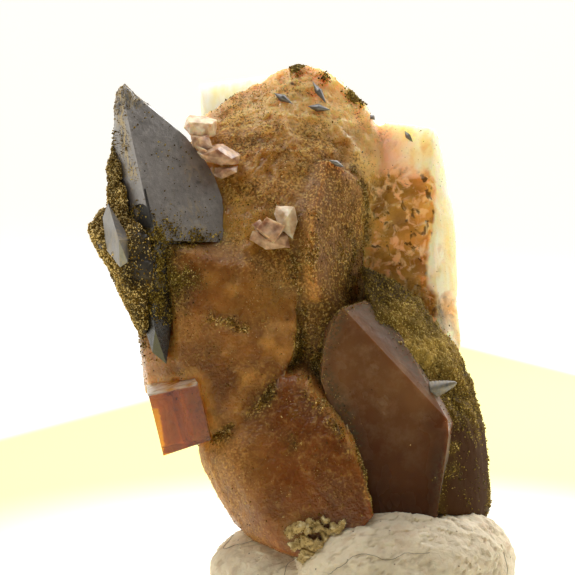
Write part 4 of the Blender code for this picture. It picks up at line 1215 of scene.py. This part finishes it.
def spindle(base, tip, width, belt=0.45, bulge=1.0, rounds=24):
    """Square section carried from base to tip: half width grows evenly to the belt and shrinks
    again, straight or bulging, with small steps that make the ribs across the faces."""
    base, tip = spot(*base), spot(*tip)
    axis = (tip - base) / np.linalg.norm(tip - base)
    side = np.cross(axis, (0.3, -1.0, 0.2))
    side /= np.linalg.norm(side)
    other = np.cross(axis, side)
    along = np.linspace(0.02, 0.98, rounds)[:, None, None]
    swell = np.minimum(along / belt, ((1 - along) / (1 - belt)) ** bulge)
    swell = swell * (1 + 0.05 * np.sin(along * 95))
    ring = np.stack([side, other, -side, -other])[None]
    body = base + along * (tip - base) + ring * swell * width / 2
    points = np.vstack([body.reshape(-1, 3), base[None], tip[None]])
    level, turn = np.meshgrid(np.arange(rounds - 1), np.arange(4), indexing="ij")
    a, b = level * 4 + turn, level * 4 + (turn + 1) % 4
    cells = np.stack([np.stack([a, b, b + 4], -1), np.stack([a, b + 4, a + 4], -1)]).reshape(-1, 3)
    quarter, low, high = np.arange(4), rounds * 4, rounds * 4 + 1
    after, end = (quarter + 1) % 4, (rounds - 1) * 4
    caps = [np.stack([np.full(4, low), after, quarter], 1),
            np.stack([np.full(4, high), end + quarter, end + after], 1)]
    faces = np.vstack([cells, *caps])
    middle = points.mean(0)
    outward = (face_normals(points, faces) * (points[faces].mean(1) - middle)).sum() > 0
    return points, faces if outward else faces[:, ::-1]


def on_quartz(across, up, sink):
    """The reading with the depth of the foremost quartz there, sunk in by sink mm."""
    found = front_view(body_points)
    return across, up, found[2][np.hypot(found[0] - across, found[1] - up) < 0.2].min() + sink


SMALL = {
    "anatase_small_top_left": (on_quartz(-3.04, 20.28, 0.08), on_quartz(-2.3, 19.85, -0.06),
                               0.36, 0.45, 0.8),
    "anatase_small_top_middle": (on_quartz(-1.5, 20.75, 0.08), on_quartz(-0.95, 19.85, -0.06),
                                 0.34, 0.45, 0.8),
    "anatase_small_top_right": (on_quartz(-1.7, 19.75, 0.06), on_quartz(-0.78, 19.6, -0.06),
                                0.36, 0.45, 0.8),
    "anatase_small_right": ((3.1, 8.35, -0.85), (4.28, 8.7, -1.1), 0.72, 0.15, 0.22),
}
for name, (base, end, width, belt, dark) in SMALL.items():
    points, faces = spindle(base, end, width, belt, 0.6 if belt < 0.3 else 1.0)
    make_piece(name.replace("small", "tiny"), points, faces,
               etched_anatase if belt < 0.3 else anatase_skin, "anatase", [name],
               smooth=False, dust=np.full(len(points), 0.3), shade=np.full(len(points), dark))

SPECKS = [((0.8, 19.4), (1.0, 19.2)), ((2.15, 18.8), (2.55, 18.25)), ((-0.85, 17.6), (-0.2, 17.3))]
for number, (base, end) in enumerate(SPECKS):
    points, faces = spindle(on_quartz(*base, 0.05), on_quartz(*end, 0.0), 0.26)
    make_piece(f"anatase_speck_{number + 1}", points, faces, anatase_skin, "anatase",
               smooth=False, dust=np.full(len(points), 0.5),
               shade=np.full(len(points), 0.7))

# %% [markdown]
# ## Carbonate rhombs
#
# A carbonate crystal is a cube leaned over along its diagonal, with curved, stepped faces.
# Several grow through each other, so each cluster is a few convex bodies whose corners were
# read off the front view, and whose faces are wavy.

# %% Rhomb clusters


RHOMBS = {
    "carbonate_upper": {
        "pale": [(-6.68, 18.88, 2.0), (-6.56, 19.28, 2.1), (-6.4, 19.4, 2.3), (-5.72, 19.32, 2.5),
                 (-5.36, 19.18, 2.4), (-5.42, 18.6, 1.9), (-6.0, 18.5, 1.5), (-6.35, 18.62, 1.6),
                 (-6.42, 19.1, 1.5), (-5.6, 19.0, 1.45), (-5.9, 18.72, 1.3), (-6.3, 18.8, 3.0),
                 (-5.5, 18.9, 3.2)],
        "pink": [(-6.4, 18.6, 1.5), (-6.3, 18.1, 1.3), (-5.9, 17.92, 1.1), (-5.5, 18.1, 1.1),
                 (-5.65, 18.6, 1.3), (-6.05, 18.45, 0.95), (-5.9, 18.3, 2.6), (-6.3, 18.4, 2.4)],
        "blade": [(-6.1, 17.9, 1.2), (-5.76, 18.14, 1.5), (-5.1, 18.22, 1.6), (-4.38, 17.78, 1.4),
                  (-4.48, 17.46, 1.1), (-5.15, 17.4, 0.8), (-5.75, 17.55, 0.85), (-5.9, 17.78, 0.7),
                  (-4.75, 17.64, 0.7), (-5.3, 17.98, 0.8), (-5.3, 17.7, 2.4)],
        "low": [(-5.4, 17.3, 1.2), (-4.46, 17.38, 1.3), (-4.5, 17.1, 1.0), (-5.15, 16.82, 0.95),
                (-5.45, 17.0, 1.1), (-4.9, 17.25, 0.7), (-5.0, 17.1, 2.2)],
        "left": [(-6.15, 18.2, 1.0), (-5.95, 17.75, 0.85), (-5.6, 17.6, 0.9), (-5.75, 18.0, 0.75),
                 (-6.0, 18.0, 1.8)],
    },
    "carbonate_lower": {
        "front": [(-3.72, 14.88, -0.3), (-3.32, 15.32, -0.2), (-2.6, 14.96, -0.35),
                  (-3.02, 14.38, -0.5), (-3.8, 14.7, 0.5), (-3.35, 15.1, 0.6), (-2.65, 14.75, 0.5),
                  (-3.1, 14.2, 0.3)],
        "pale": [(-3.05, 15.45, 0.2), (-2.95, 15.78, 0.35), (-2.25, 15.7, 0.3), (-2.1, 15.15, 0.1),
                 (-2.3, 14.42, -0.05), (-2.85, 14.9, -0.1), (-2.5, 15.35, -0.1), (-2.9, 15.6, 1.2),
                 (-2.3, 15.5, 1.2), (-2.3, 14.6, 1.0)],
        "brown": [(-4.0, 14.42, 0.1), (-3.9, 14.75, 0.1), (-3.4, 14.05, -0.1), (-2.4, 14.1, -0.05),
                  (-2.5, 14.6, 0.0), (-3.2, 14.3, -0.3), (-3.2, 14.8, 0.2), (-3.2, 14.3, 0.9)],
        "chip": [(-3.9, 15.0, 0.0), (-3.6, 15.2, 0.1), (-3.4, 14.9, -0.1), (-3.75, 14.7, -0.1),
                 (-3.6, 14.9, 0.8)],
    },
}
for number, (node, label) in enumerate((n, l) for n, parts in RHOMBS.items() for l in parts):
    points, faces = crystal_surface(spots(RHOMBS[node][label]), 14, 0.07, 101 + number)
    make_piece(f"rhomb_{node[10:]}_{label}", points, faces,
               pale_rhomb_skin if label == "pale" else rhomb_skin, "carbonate", [node], bevel=0.02)

# %% [markdown]
# ## Chlorite crusts
#
# A crust has two layers here: a lumpy body that gives it thickness and shadow, and flakes that
# stand on it. The dust on the quartz is the same flake, only smaller and sparser.

# %% Crust bodies and their flakes


def calm(points):
    """1 at the lower right, where the crust is smooth and brown, and 0 elsewhere."""
    across, up, _ = front_view(points)
    return ramp(up, 7.6, 6.6) * ramp(across, 3.4, 4.0) * ramp(across, 5.75, 5.45)


def crust_relief(seed):
    """Lumps of about a millimetre, knobs of a third of that, and grit."""
    return lambda p: (0.22 * cloud(p, 1.0, seed) + 0.16 * cloud(p, 0.4, seed + 5)
                      + 0.04 * ripple(p, 0.15, seed + 9) - 0.08) * (1 - 0.8 * calm(p))


def joined(parts):
    """One pair of arrays from several: corner numbers grow by the points that come before."""
    starts = np.cumsum([0] + [len(points) for points, _ in parts[:-1]])
    return (np.vstack([points for points, _ in parts]),
            np.vstack([faces + start for (_, faces), start in zip(parts, starts)]))


def lay_flakes(name, surface, weight, count, sizes, skin, seed, light=None):
    """Flakes scattered on a surface by weight, as one piece. Light shifts the tone of a place;
    for the crusts it also paints light and shade.
    """
    places, ways = scatter(surface[0], surface[1], np.maximum(weight, 0), count, seed)
    grains, cells, tone = grain_arrays(places, ways, *sizes, seed + 1)
    if light is not None:
        tone = np.clip(tone + np.repeat(light(places), 6), 0, 1)
    make_piece(name, grains, cells, skin, "chlorite", smooth=False, tone=tone)


def left_tone_and_painted_light(points):
    """Golden on the outer rim and darker near the large crystal. Painted highlights lighten the
    lumps and painted shade darkens the hollows.
    """
    across = front_view(points)[0]
    return 0.14 + 0.26 * ramp(across, -8.4, -9.6) + 0.9 * crust_relief(4)(points)


def right_tone_and_painted_light(points):
    """Yellow-green in the middle and dark along the upper border. Painted shade darkens the lower
    right and the hollows, and painted highlights lighten the lumps.
    """
    across, up, _ = front_view(points)
    centre = 0.65 * near(points, 3.0, 10.2, 1.7) - 0.12 * ramp(up - across, 9.6, 11.5)
    return 0.12 + centre - 0.15 * ramp(up, 7.0, 5.0) + 0.9 * crust_relief(5)(points)


# Painted light: the crusts' tone follows their relief, lighter on the lumps and darker in the hollows.
across_of = {"left": left_tone_and_painted_light, "right": right_tone_and_painted_light}
for side, corners, skin, grain_skin, count in (("left", LEFT_CRUST, crust, flakes, 14000),
                                               ("right", RIGHT_CRUST, brown_crust, moss_flakes, 24000)):
    points, faces = rough_mass(corners, 150, 230, crust_relief(len(side)), 16)
    light = across_of[side]
    bare = np.clip(2.2 * cloud(points, 0.7, 71) - 0.8, 0, 1) + near(points, -8.1, 13.4, 0.8) + 0.7 * near(points, -8.3, 14.6, 0.5)
    if side == "right":
        across, up, _ = front_view(points)
        bare = np.clip(1.1 * calm(points) - 1.2 * np.clip(cloud(points, 0.9, 72) - 0.1, 0, 1), 0, 1)
    make_piece(f"chlorite_{side}_body", points, faces, skin, "chlorite", [f"chlorite_{side}"],
               tone=np.clip(0.2 + 1.2 * light(points), 0, 1), bare=bare)
    lay_flakes(f"chlorite_{side}_flakes", (points, faces), 1.03 - bare, count, (0.04, 0.12),
               grain_skin, 12, light)

strip = spots([(-9.72, 17.9, 1.5), (-9.4, 18.1, 1.2), (-9.15, 17.0, 0.8), (-8.9, 16.0, 0.2),
               (-8.75, 15.2, -0.2), (-9.8, 15.2, 1.6), (-9.8, 16.4, 1.7), (-9.5, 17.0, 2.2),
               (-9.6, 15.5, 2.4)])
points, faces = rough_mass(strip, 80, 110, crust_relief(8), 16)
make_piece("chlorite_left_strip", points, faces, crust, "chlorite",
           tone=np.clip(0.2 + 1.2 * left_tone_and_painted_light(points), 0, 1), bare=np.zeros(len(points)))
lay_flakes("chlorite_left_strip_flakes", (points, faces), np.ones(len(points)), 5000, (0.04, 0.12),
           flakes, 14, left_tone_and_painted_light)

# %% Flakes that lie on the large anatase
surface = joined([(large_points, large_faces), (tail_points, tail_faces)])
across, up, depth = front_view(surface[0])
seen = point_normals(*surface)[:, 1] < -0.1
outer = 3 * ramp(across + 0.12 * (20 - up), -9.0, -9.25) * ramp(up, 18.9, 17.8)
low = 1.5 * ramp(up, 15.8, 14.8) * ramp(across, -7.4, -8.0) + 2 * ramp(up, 14.8, 14.0)
edges = along(surface[0], [(-4.84, 14.3), (-6.2, 14.5), (-7.8, 14.9), (-8.4, 15.6)], 0.22)
rims = along(surface[0], [(-7.2, 14.2), (-7.1, 13.2), (-7.35, 12.0), (-7.4, 11.2)], 0.2)
weight = outer + low + 0.8 * edges + 3 * rims * np.clip(0.5 + 1.5 * cloud(surface[0], 0.4, 43), 0, 1) + near(surface[0], -7.4, 14.9, 0.5) + 0.02
weight = weight * (0.15 + np.clip(1.8 * cloud(surface[0], 0.5, 44), 0, 1)) * ramp(up, 11.0, 12.0)
weight = weight * (1 - 0.97 * along(surface[0], [(-8.3, 16.4), (-8.05, 15.0)], 0.4))
lay_flakes("chlorite_on_anatase", surface, weight * seen, 7500, (0.04, 0.12), dark_flakes, 45)
streak *= 0.1 + np.clip(2 * cloud(large_points * (2, 2, 0.6), 0.4, 47), 0, 1)
lay_flakes("gold_dust_on_anatase", (large_points, large_faces),
           (streak + 0.5 * tip) * (front_view(large_points)[2] < 2.5), 1500, (0.02, 0.07), flakes, 48)

# %% Crumbly patch at the foot
FOOT_LUMPS = [(-1.6, 2.5, -2.45, 0.42), (-1.2, 2.9, -2.5, 0.34), (-1.95, 2.9, -2.4, 0.3),
              (-1.5, 3.15, -2.45, 0.26), (-2.1, 2.3, -2.4, 0.34), (-1.35, 2.2, -2.6, 0.34),
              (-1.75, 1.85, -2.45, 0.34), (-0.55, 2.85, -2.5, 0.3), (-0.25, 3.0, -2.5, 0.22),
              (-0.8, 2.75, -2.5, 0.2), (-1.7, 2.75, -2.65, 0.2), (-2.35, 2.7, -2.3, 0.24),
              (-1.3, 1.8, -2.5, 0.26), (-1.1, 2.5, -2.55, 0.24), (-1.0, 3.2, -2.45, 0.18)]
chance = np.random.default_rng(7)
lumps = []
for across, up, depth, radius in FOOT_LUMPS:
    corners = chance.normal(size=(12, 3))
    corners *= radius * chance.uniform(0.9, 1.4, (12, 1)) / np.linalg.norm(corners, axis=1, keepdims=True)
    lumps.append(rough_mass(spot(across, up, depth) + corners, 36, 54,
                            lambda p: 0.1 * cloud(p, 0.28, 4) + 0.04 * ripple(p, 0.12, 6), 16))
lumps = joined(lumps)
make_piece("chlorite_foot_lumps", *lumps, foot_crust, "chlorite", ["chlorite_foot"],
           tone=np.clip(0.65 + 0.5 * cloud(lumps[0], 0.3, 7), 0, 1),
           bare=np.zeros(len(lumps[0])))
lay_flakes("chlorite_foot_flakes", lumps, np.ones(len(lumps[0])), 2000, (0.03, 0.1), foot_crust, 3)

# %% Dust on the quartz
across, up, depth = front_view(body_points)
open_face = np.where(depth < 4.5, 1.0, 0.3)
fine_weight = 0.2 * upper + 1.5 * cloud(body_points, 0.9, 21) * (0.3 + upper)
fine_weight = fine_weight + 0.25 * body_share["shaded"] - 0.5 * thin
fine_weight += 0.6 * near(body_points, -3.0, 13.1, 0.9) + 0.4 * near(body_points, -3.6, 11.6, 0.8)
fine_weight += 0.8 * near(body_points, -6.6, 12.8, 0.9) + 0.4 * near(body_points, -6.8, 10.6, 0.8)
fine_weight = np.clip(fine_weight, 0.04, 1) * open_face * (1 - 0.6 * body_share["pale_right"])
surface = (body_points, body_faces)


def clumped(points):
    return 0.35 * cloud(points, 0.7, 57)


lay_flakes("dust_fine", surface, fine_weight, 22000, (0.02, 0.07), flakes, 51, clumped)
lay_flakes("chlorite_spill", surface, spill ** 1.5, 5000, (0.03, 0.1), dark_flakes, 59)
plain = 1 - 0.9 * body_share["pale_right"]
lay_flakes("dust_finest", surface, (fine_weight + 0.06) * plain, 14000, (0.02, 0.05), flakes, 55)
clumps = (crumbs ** 2 + 1.2 * moss ** 2 + 0.015) * open_face * plain
lay_flakes("dust_crumbs", surface, clumps, 16000, (0.03, 0.12), flakes, 53, clumped)
points, faces = surfaces["right"]
weight = left_edge ** 2 + 0.8 * top_dust ** 2 + 0.03 * np.clip(cloud(points, 0.8, 33), 0, 1)
lay_flakes("dust_right", (points, faces), weight, 4000, (0.03, 0.1), flakes, 61)
dark_patches = (near(body_points, 0.15, 20.2, 0.3) + near(body_points, -2.15, 21.25, 0.25)
                + 0.7 * near(body_points, -1.0, 20.85, 0.2) + 0.5 * near(body_points, 0.5, 19.9, 0.2))
lay_flakes("dust_dark_patches", surface, dark_patches ** 2 * (depth < 5), 1000, (0.06, 0.18),
           dark_flakes, 71)

# %% [markdown]
# ## The putty
#
# Putty keeps the marks of the fingers that pressed it. Each direction from the middle reaches
# to the farthest of a few flattened balls, which leaves folds where two balls meet, and
# ridged noise adds the fine creases. The underside is pressed flat on the ground.

# %% The putty lump
PUTTY = [((1.5, -1.8, 1.5), (4.6, 4.2, 2.6)), ((-1.65, -0.2, 1.0), (4.4, 3.9, 1.9)),
         ((3.3, -1.6, 1.6), (2.9, 3.5, 2.1)), ((-0.6, 2.6, 1.1), (4.2, 3.3, 2.3))]


def putty_reach(ways, middle):
    """Largest exit distance over the balls: the far root of |(middle + t way - c) / h| = 1."""
    found = np.zeros(len(ways))
    for centre, half in PUTTY:
        step, start = ways / half, (middle - centre) / np.array(half)
        a, b, c = (step * step).sum(1), step @ start, start @ start - 1
        root = b * b - a * c
        reach = np.where(root > 0, (-b + np.sqrt(np.maximum(root, 0))) / a, 0)
        found = np.maximum(found, reach)
    return found


putty_middle = np.array([0.6, -0.2, 0.7])
putty_ways = directions(190, 320)
putty_points = putty_middle + putty_ways * putty_reach(putty_ways, putty_middle)[:, None]
folds = 1 - 2 * np.abs(cloud(putty_points * (0.6, 1, 1.3), 1.3, 15))
crease = np.clip(1 - 9 * np.abs(cloud(putty_points * (0.6, 0.9, 1.3), 0.9, 16)), 0, 1)
relief = 0.12 * cloud(putty_points, 1.7, 11) + 0.06 * np.clip(folds, 0, 1) ** 3
wrinkles = np.clip(1 - 4 * np.abs(cloud(putty_points * (0.5, 0.9, 1.2), 0.55, 18, 3)), 0, 1)
relief += 0.03 * cloud(putty_points, 0.3, 13) - 0.05 * crease - 0.05 * wrinkles
putty_points = putty_points + putty_ways * relief[:, None]
putty_points[:, 2] = np.maximum(putty_points[:, 2], 0)
putty_faces = ball_faces(190, 320)
make_piece("putty_lump", putty_points, putty_faces, putty_skin, "putty", ["mounting_putty"],
           crease=crease)

# %% Lint on the putty


def lint_path(ring, sector, steps, seed):
    """A wandering line over the putty's grid of directions, smoothed by a mean of five."""
    chance = np.random.default_rng(seed)
    heading = chance.uniform(0, 6.3) + np.cumsum(chance.normal(0, 0.28, steps))
    rows = np.clip(ring * 1.46 + np.cumsum(0.8 * np.sin(heading)), 6, 178)
    columns = sector * 1.455 + np.cumsum(0.8 * np.cos(heading))
    found = rows.round().astype(int) * 320 + columns.round().astype(int) % 320
    smooth = [np.convolve(putty_points[found, k], np.ones(5) / 5, "valid") for k in range(3)]
    return np.stack(smooth, axis=1) + putty_ways[found[2:-2]] * 0.03


def tube(path, radius, sides=5):
    """Rings of a few points around each place of a path, closed by a point at each end."""
    ways = np.gradient(path, axis=0)
    ways /= np.linalg.norm(ways, axis=1, keepdims=True) + 1e-12
    side = np.cross(ways, (0.3, 0.5, 0.8))
    side /= np.linalg.norm(side, axis=1, keepdims=True)
    other = np.cross(ways, side)
    turn = np.linspace(0, 2 * math.pi, sides, endpoint=False)[None, :, None]
    rings = path[:, None] + radius * (side[:, None] * np.cos(turn) + other[:, None] * np.sin(turn))
    points = np.vstack([rings.reshape(-1, 3), path[:1], path[-1:]])
    level, place = np.meshgrid(np.arange(len(path) - 1), np.arange(sides), indexing="ij")
    a, b = level * sides + place, level * sides + (place + 1) % sides
    cells = np.stack([np.stack([a, b, b + sides], -1), np.stack([a, b + sides, a + sides], -1)])
    first, last = np.arange(sides), (len(path) - 1) * sides
    after = (first + 1) % sides
    caps = [np.stack([np.full(sides, len(points) - 2), after, first], 1),
            np.stack([np.full(sides, len(points) - 1), last + first, last + after], 1)]
    return points, np.vstack([cells.reshape(-1, 3), *caps])


lint_skin = chlorite("grey_lint", "#5d554b", "#857c70", "#a79d8e")
strands = [tube(lint_path(ring, sector, steps, seed), 0.01) for ring, sector, steps, seed in (
    (62, 175, 70, 1), (70, 160, 50, 2), (55, 150, 60, 3), (66, 185, 45, 4), (75, 170, 55, 5),
    (60, 140, 50, 6), (72, 195, 40, 7), (58, 60, 50, 8), (60, 100, 50, 9))]
strands = joined(strands)
make_piece("putty_lint", *strands, lint_skin, "putty", tone=np.full(len(strands[0]), 0.5),
           bare=np.zeros(len(strands[0])))

# %% [markdown]
# ## Floor and light
#
# The specimen stands on pale paper in a white light tent. The tent is bright behind, above and
# beside it and dark on the camera's side, which keeps the brown faces clear of white glare.

# %% Floor
floor_mesh = bpy.data.meshes.new("floor")
floor_mesh.from_pydata([(-3, -3, 0), (3, -3, 0), (3, 3, 0), (-3, 3, 0)], [], [(0, 1, 2, 3)])
floor = bpy.data.objects.new("floor", floor_mesh)
bpy.context.scene.collection.objects.link(floor)
paper, tree, shader, _, place = new_material("pale_paper")
corner = (0.0051, 0.0672, 0)
inset = []
for normal in ((0.84, -0.542, 0), (-0.862, -0.507, 0)):
    moved = add(tree, "VectorMath", {"operation": "SUBTRACT", 1: corner}, {0: place})
    inset.append(add(tree, "VectorMath", {"operation": "DOT_PRODUCT", 1: normal},
                     {0: moved.outputs[0]}).outputs["Value"])
inside = add(tree, "Math", {"operation": "MINIMUM"}, {0: inset[0], 1: inset[1]})
rim = add(tree, "MapRange", {"interpolation_type": "SMOOTHSTEP", "From Min": -0.0006,
                             "From Max": 0.0012}, {"Value": inside.outputs[0]})
reach = add(tree, "VectorMath", {"operation": "LENGTH"}, {0: place})
fade = add(tree, "MapRange", {"interpolation_type": "SMOOTHSTEP", "From Min": 0.012,
                              "From Max": 0.024, "To Min": 0.1, "To Max": 1.0},
           {"Value": reach.outputs["Value"]})
sides = add(tree, "SeparateXYZ", {}, {0: place}).outputs
aside = add(tree, "Math", {"operation": "ABSOLUTE"}, {0: sides["X"]})
far = add(tree, "MapRange", {"interpolation_type": "SMOOTHSTEP", "From Min": 0.027,
                             "From Max": 0.038, "To Min": 1.0, "To Max": 0.0},
          {"Value": aside.outputs[0]})
front = add(tree, "MapRange", {"interpolation_type": "SMOOTHSTEP", "From Min": -0.045,
                               "From Max": -0.02}, {"Value": sides["Y"]})
far = add(tree, "Math", {"operation": "MULTIPLY"}, {0: far.outputs[0], 1: front.outputs[0]})
fade = add(tree, "Math", {"operation": "MULTIPLY"}, {0: fade.outputs[0], 1: far.outputs[0]})
cream = add(tree, "Math", {"operation": "MULTIPLY"}, {0: rim.outputs[0], 1: fade.outputs[0]})
tint = blend(tree, cream.outputs[0], colour("#ffffff"), (1.0, 0.92, 0.36, 1))
tree.links.new(tint, shader.inputs["Base Color"])
tree.links.new(tint, shader.inputs["Emission Color"])
shader.inputs["Emission Strength"].default_value = 0.3
shader.inputs["Roughness"].default_value = 0.9
floor_mesh.materials.append(paper)
floor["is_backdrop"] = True

# %% Light
world = bpy.data.worlds.new("light_tent")
bpy.context.scene.world = world
world.use_nodes = True
tree = world.node_tree
tree.nodes.clear()
way = add(tree, "TexCoord").outputs["Generated"]
split = add(tree, "SeparateXYZ", {}, {0: way})
behind = add(tree, "MapRange", {"interpolation_type": "SMOOTHSTEP", "From Min": -0.5,
                                "From Max": 0.9, "To Min": 0.09, "To Max": 1.8},
             {"Value": split.outputs["Y"]})
background = add(tree, "Background", {"Color": (1, 0.95, 0.84, 1)}, {"Strength": behind.outputs[0]})
add(tree, "OutputWorld", {}, {"Surface": background.outputs[0]})


def softbox(name, place, target, size, power):
    """Square area light in mm that looks at a target."""
    light = bpy.data.lights.new(name, "AREA")
    light.size = size * MM
    light.energy = power
    lamp = bpy.data.objects.new(name, light)
    bpy.context.scene.collection.objects.link(lamp)
    lamp.location = [value * MM for value in place]
    away = np.array(place, float) - np.array(target, float)
    away /= np.linalg.norm(away)
    lamp.rotation_euler = (math.acos(away[2]), 0, math.atan2(away[1], away[0]) + math.pi / 2)
    print(name, "at", place, "mm")


softbox("light_back_right", (35, 50, 55), (0, 2, 12), 40, 0.035)
softbox("light_top", (-25, 10, 70), (0, 0, 12), 40, 0.02)

# %% Sizes
bpy.context.view_layer.update()
visual_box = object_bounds()
for label, box in (("solids", solid_box), ("visual", visual_box)):
    print(label, [[round(value / MM, 2) for value in corner] for corner in box])
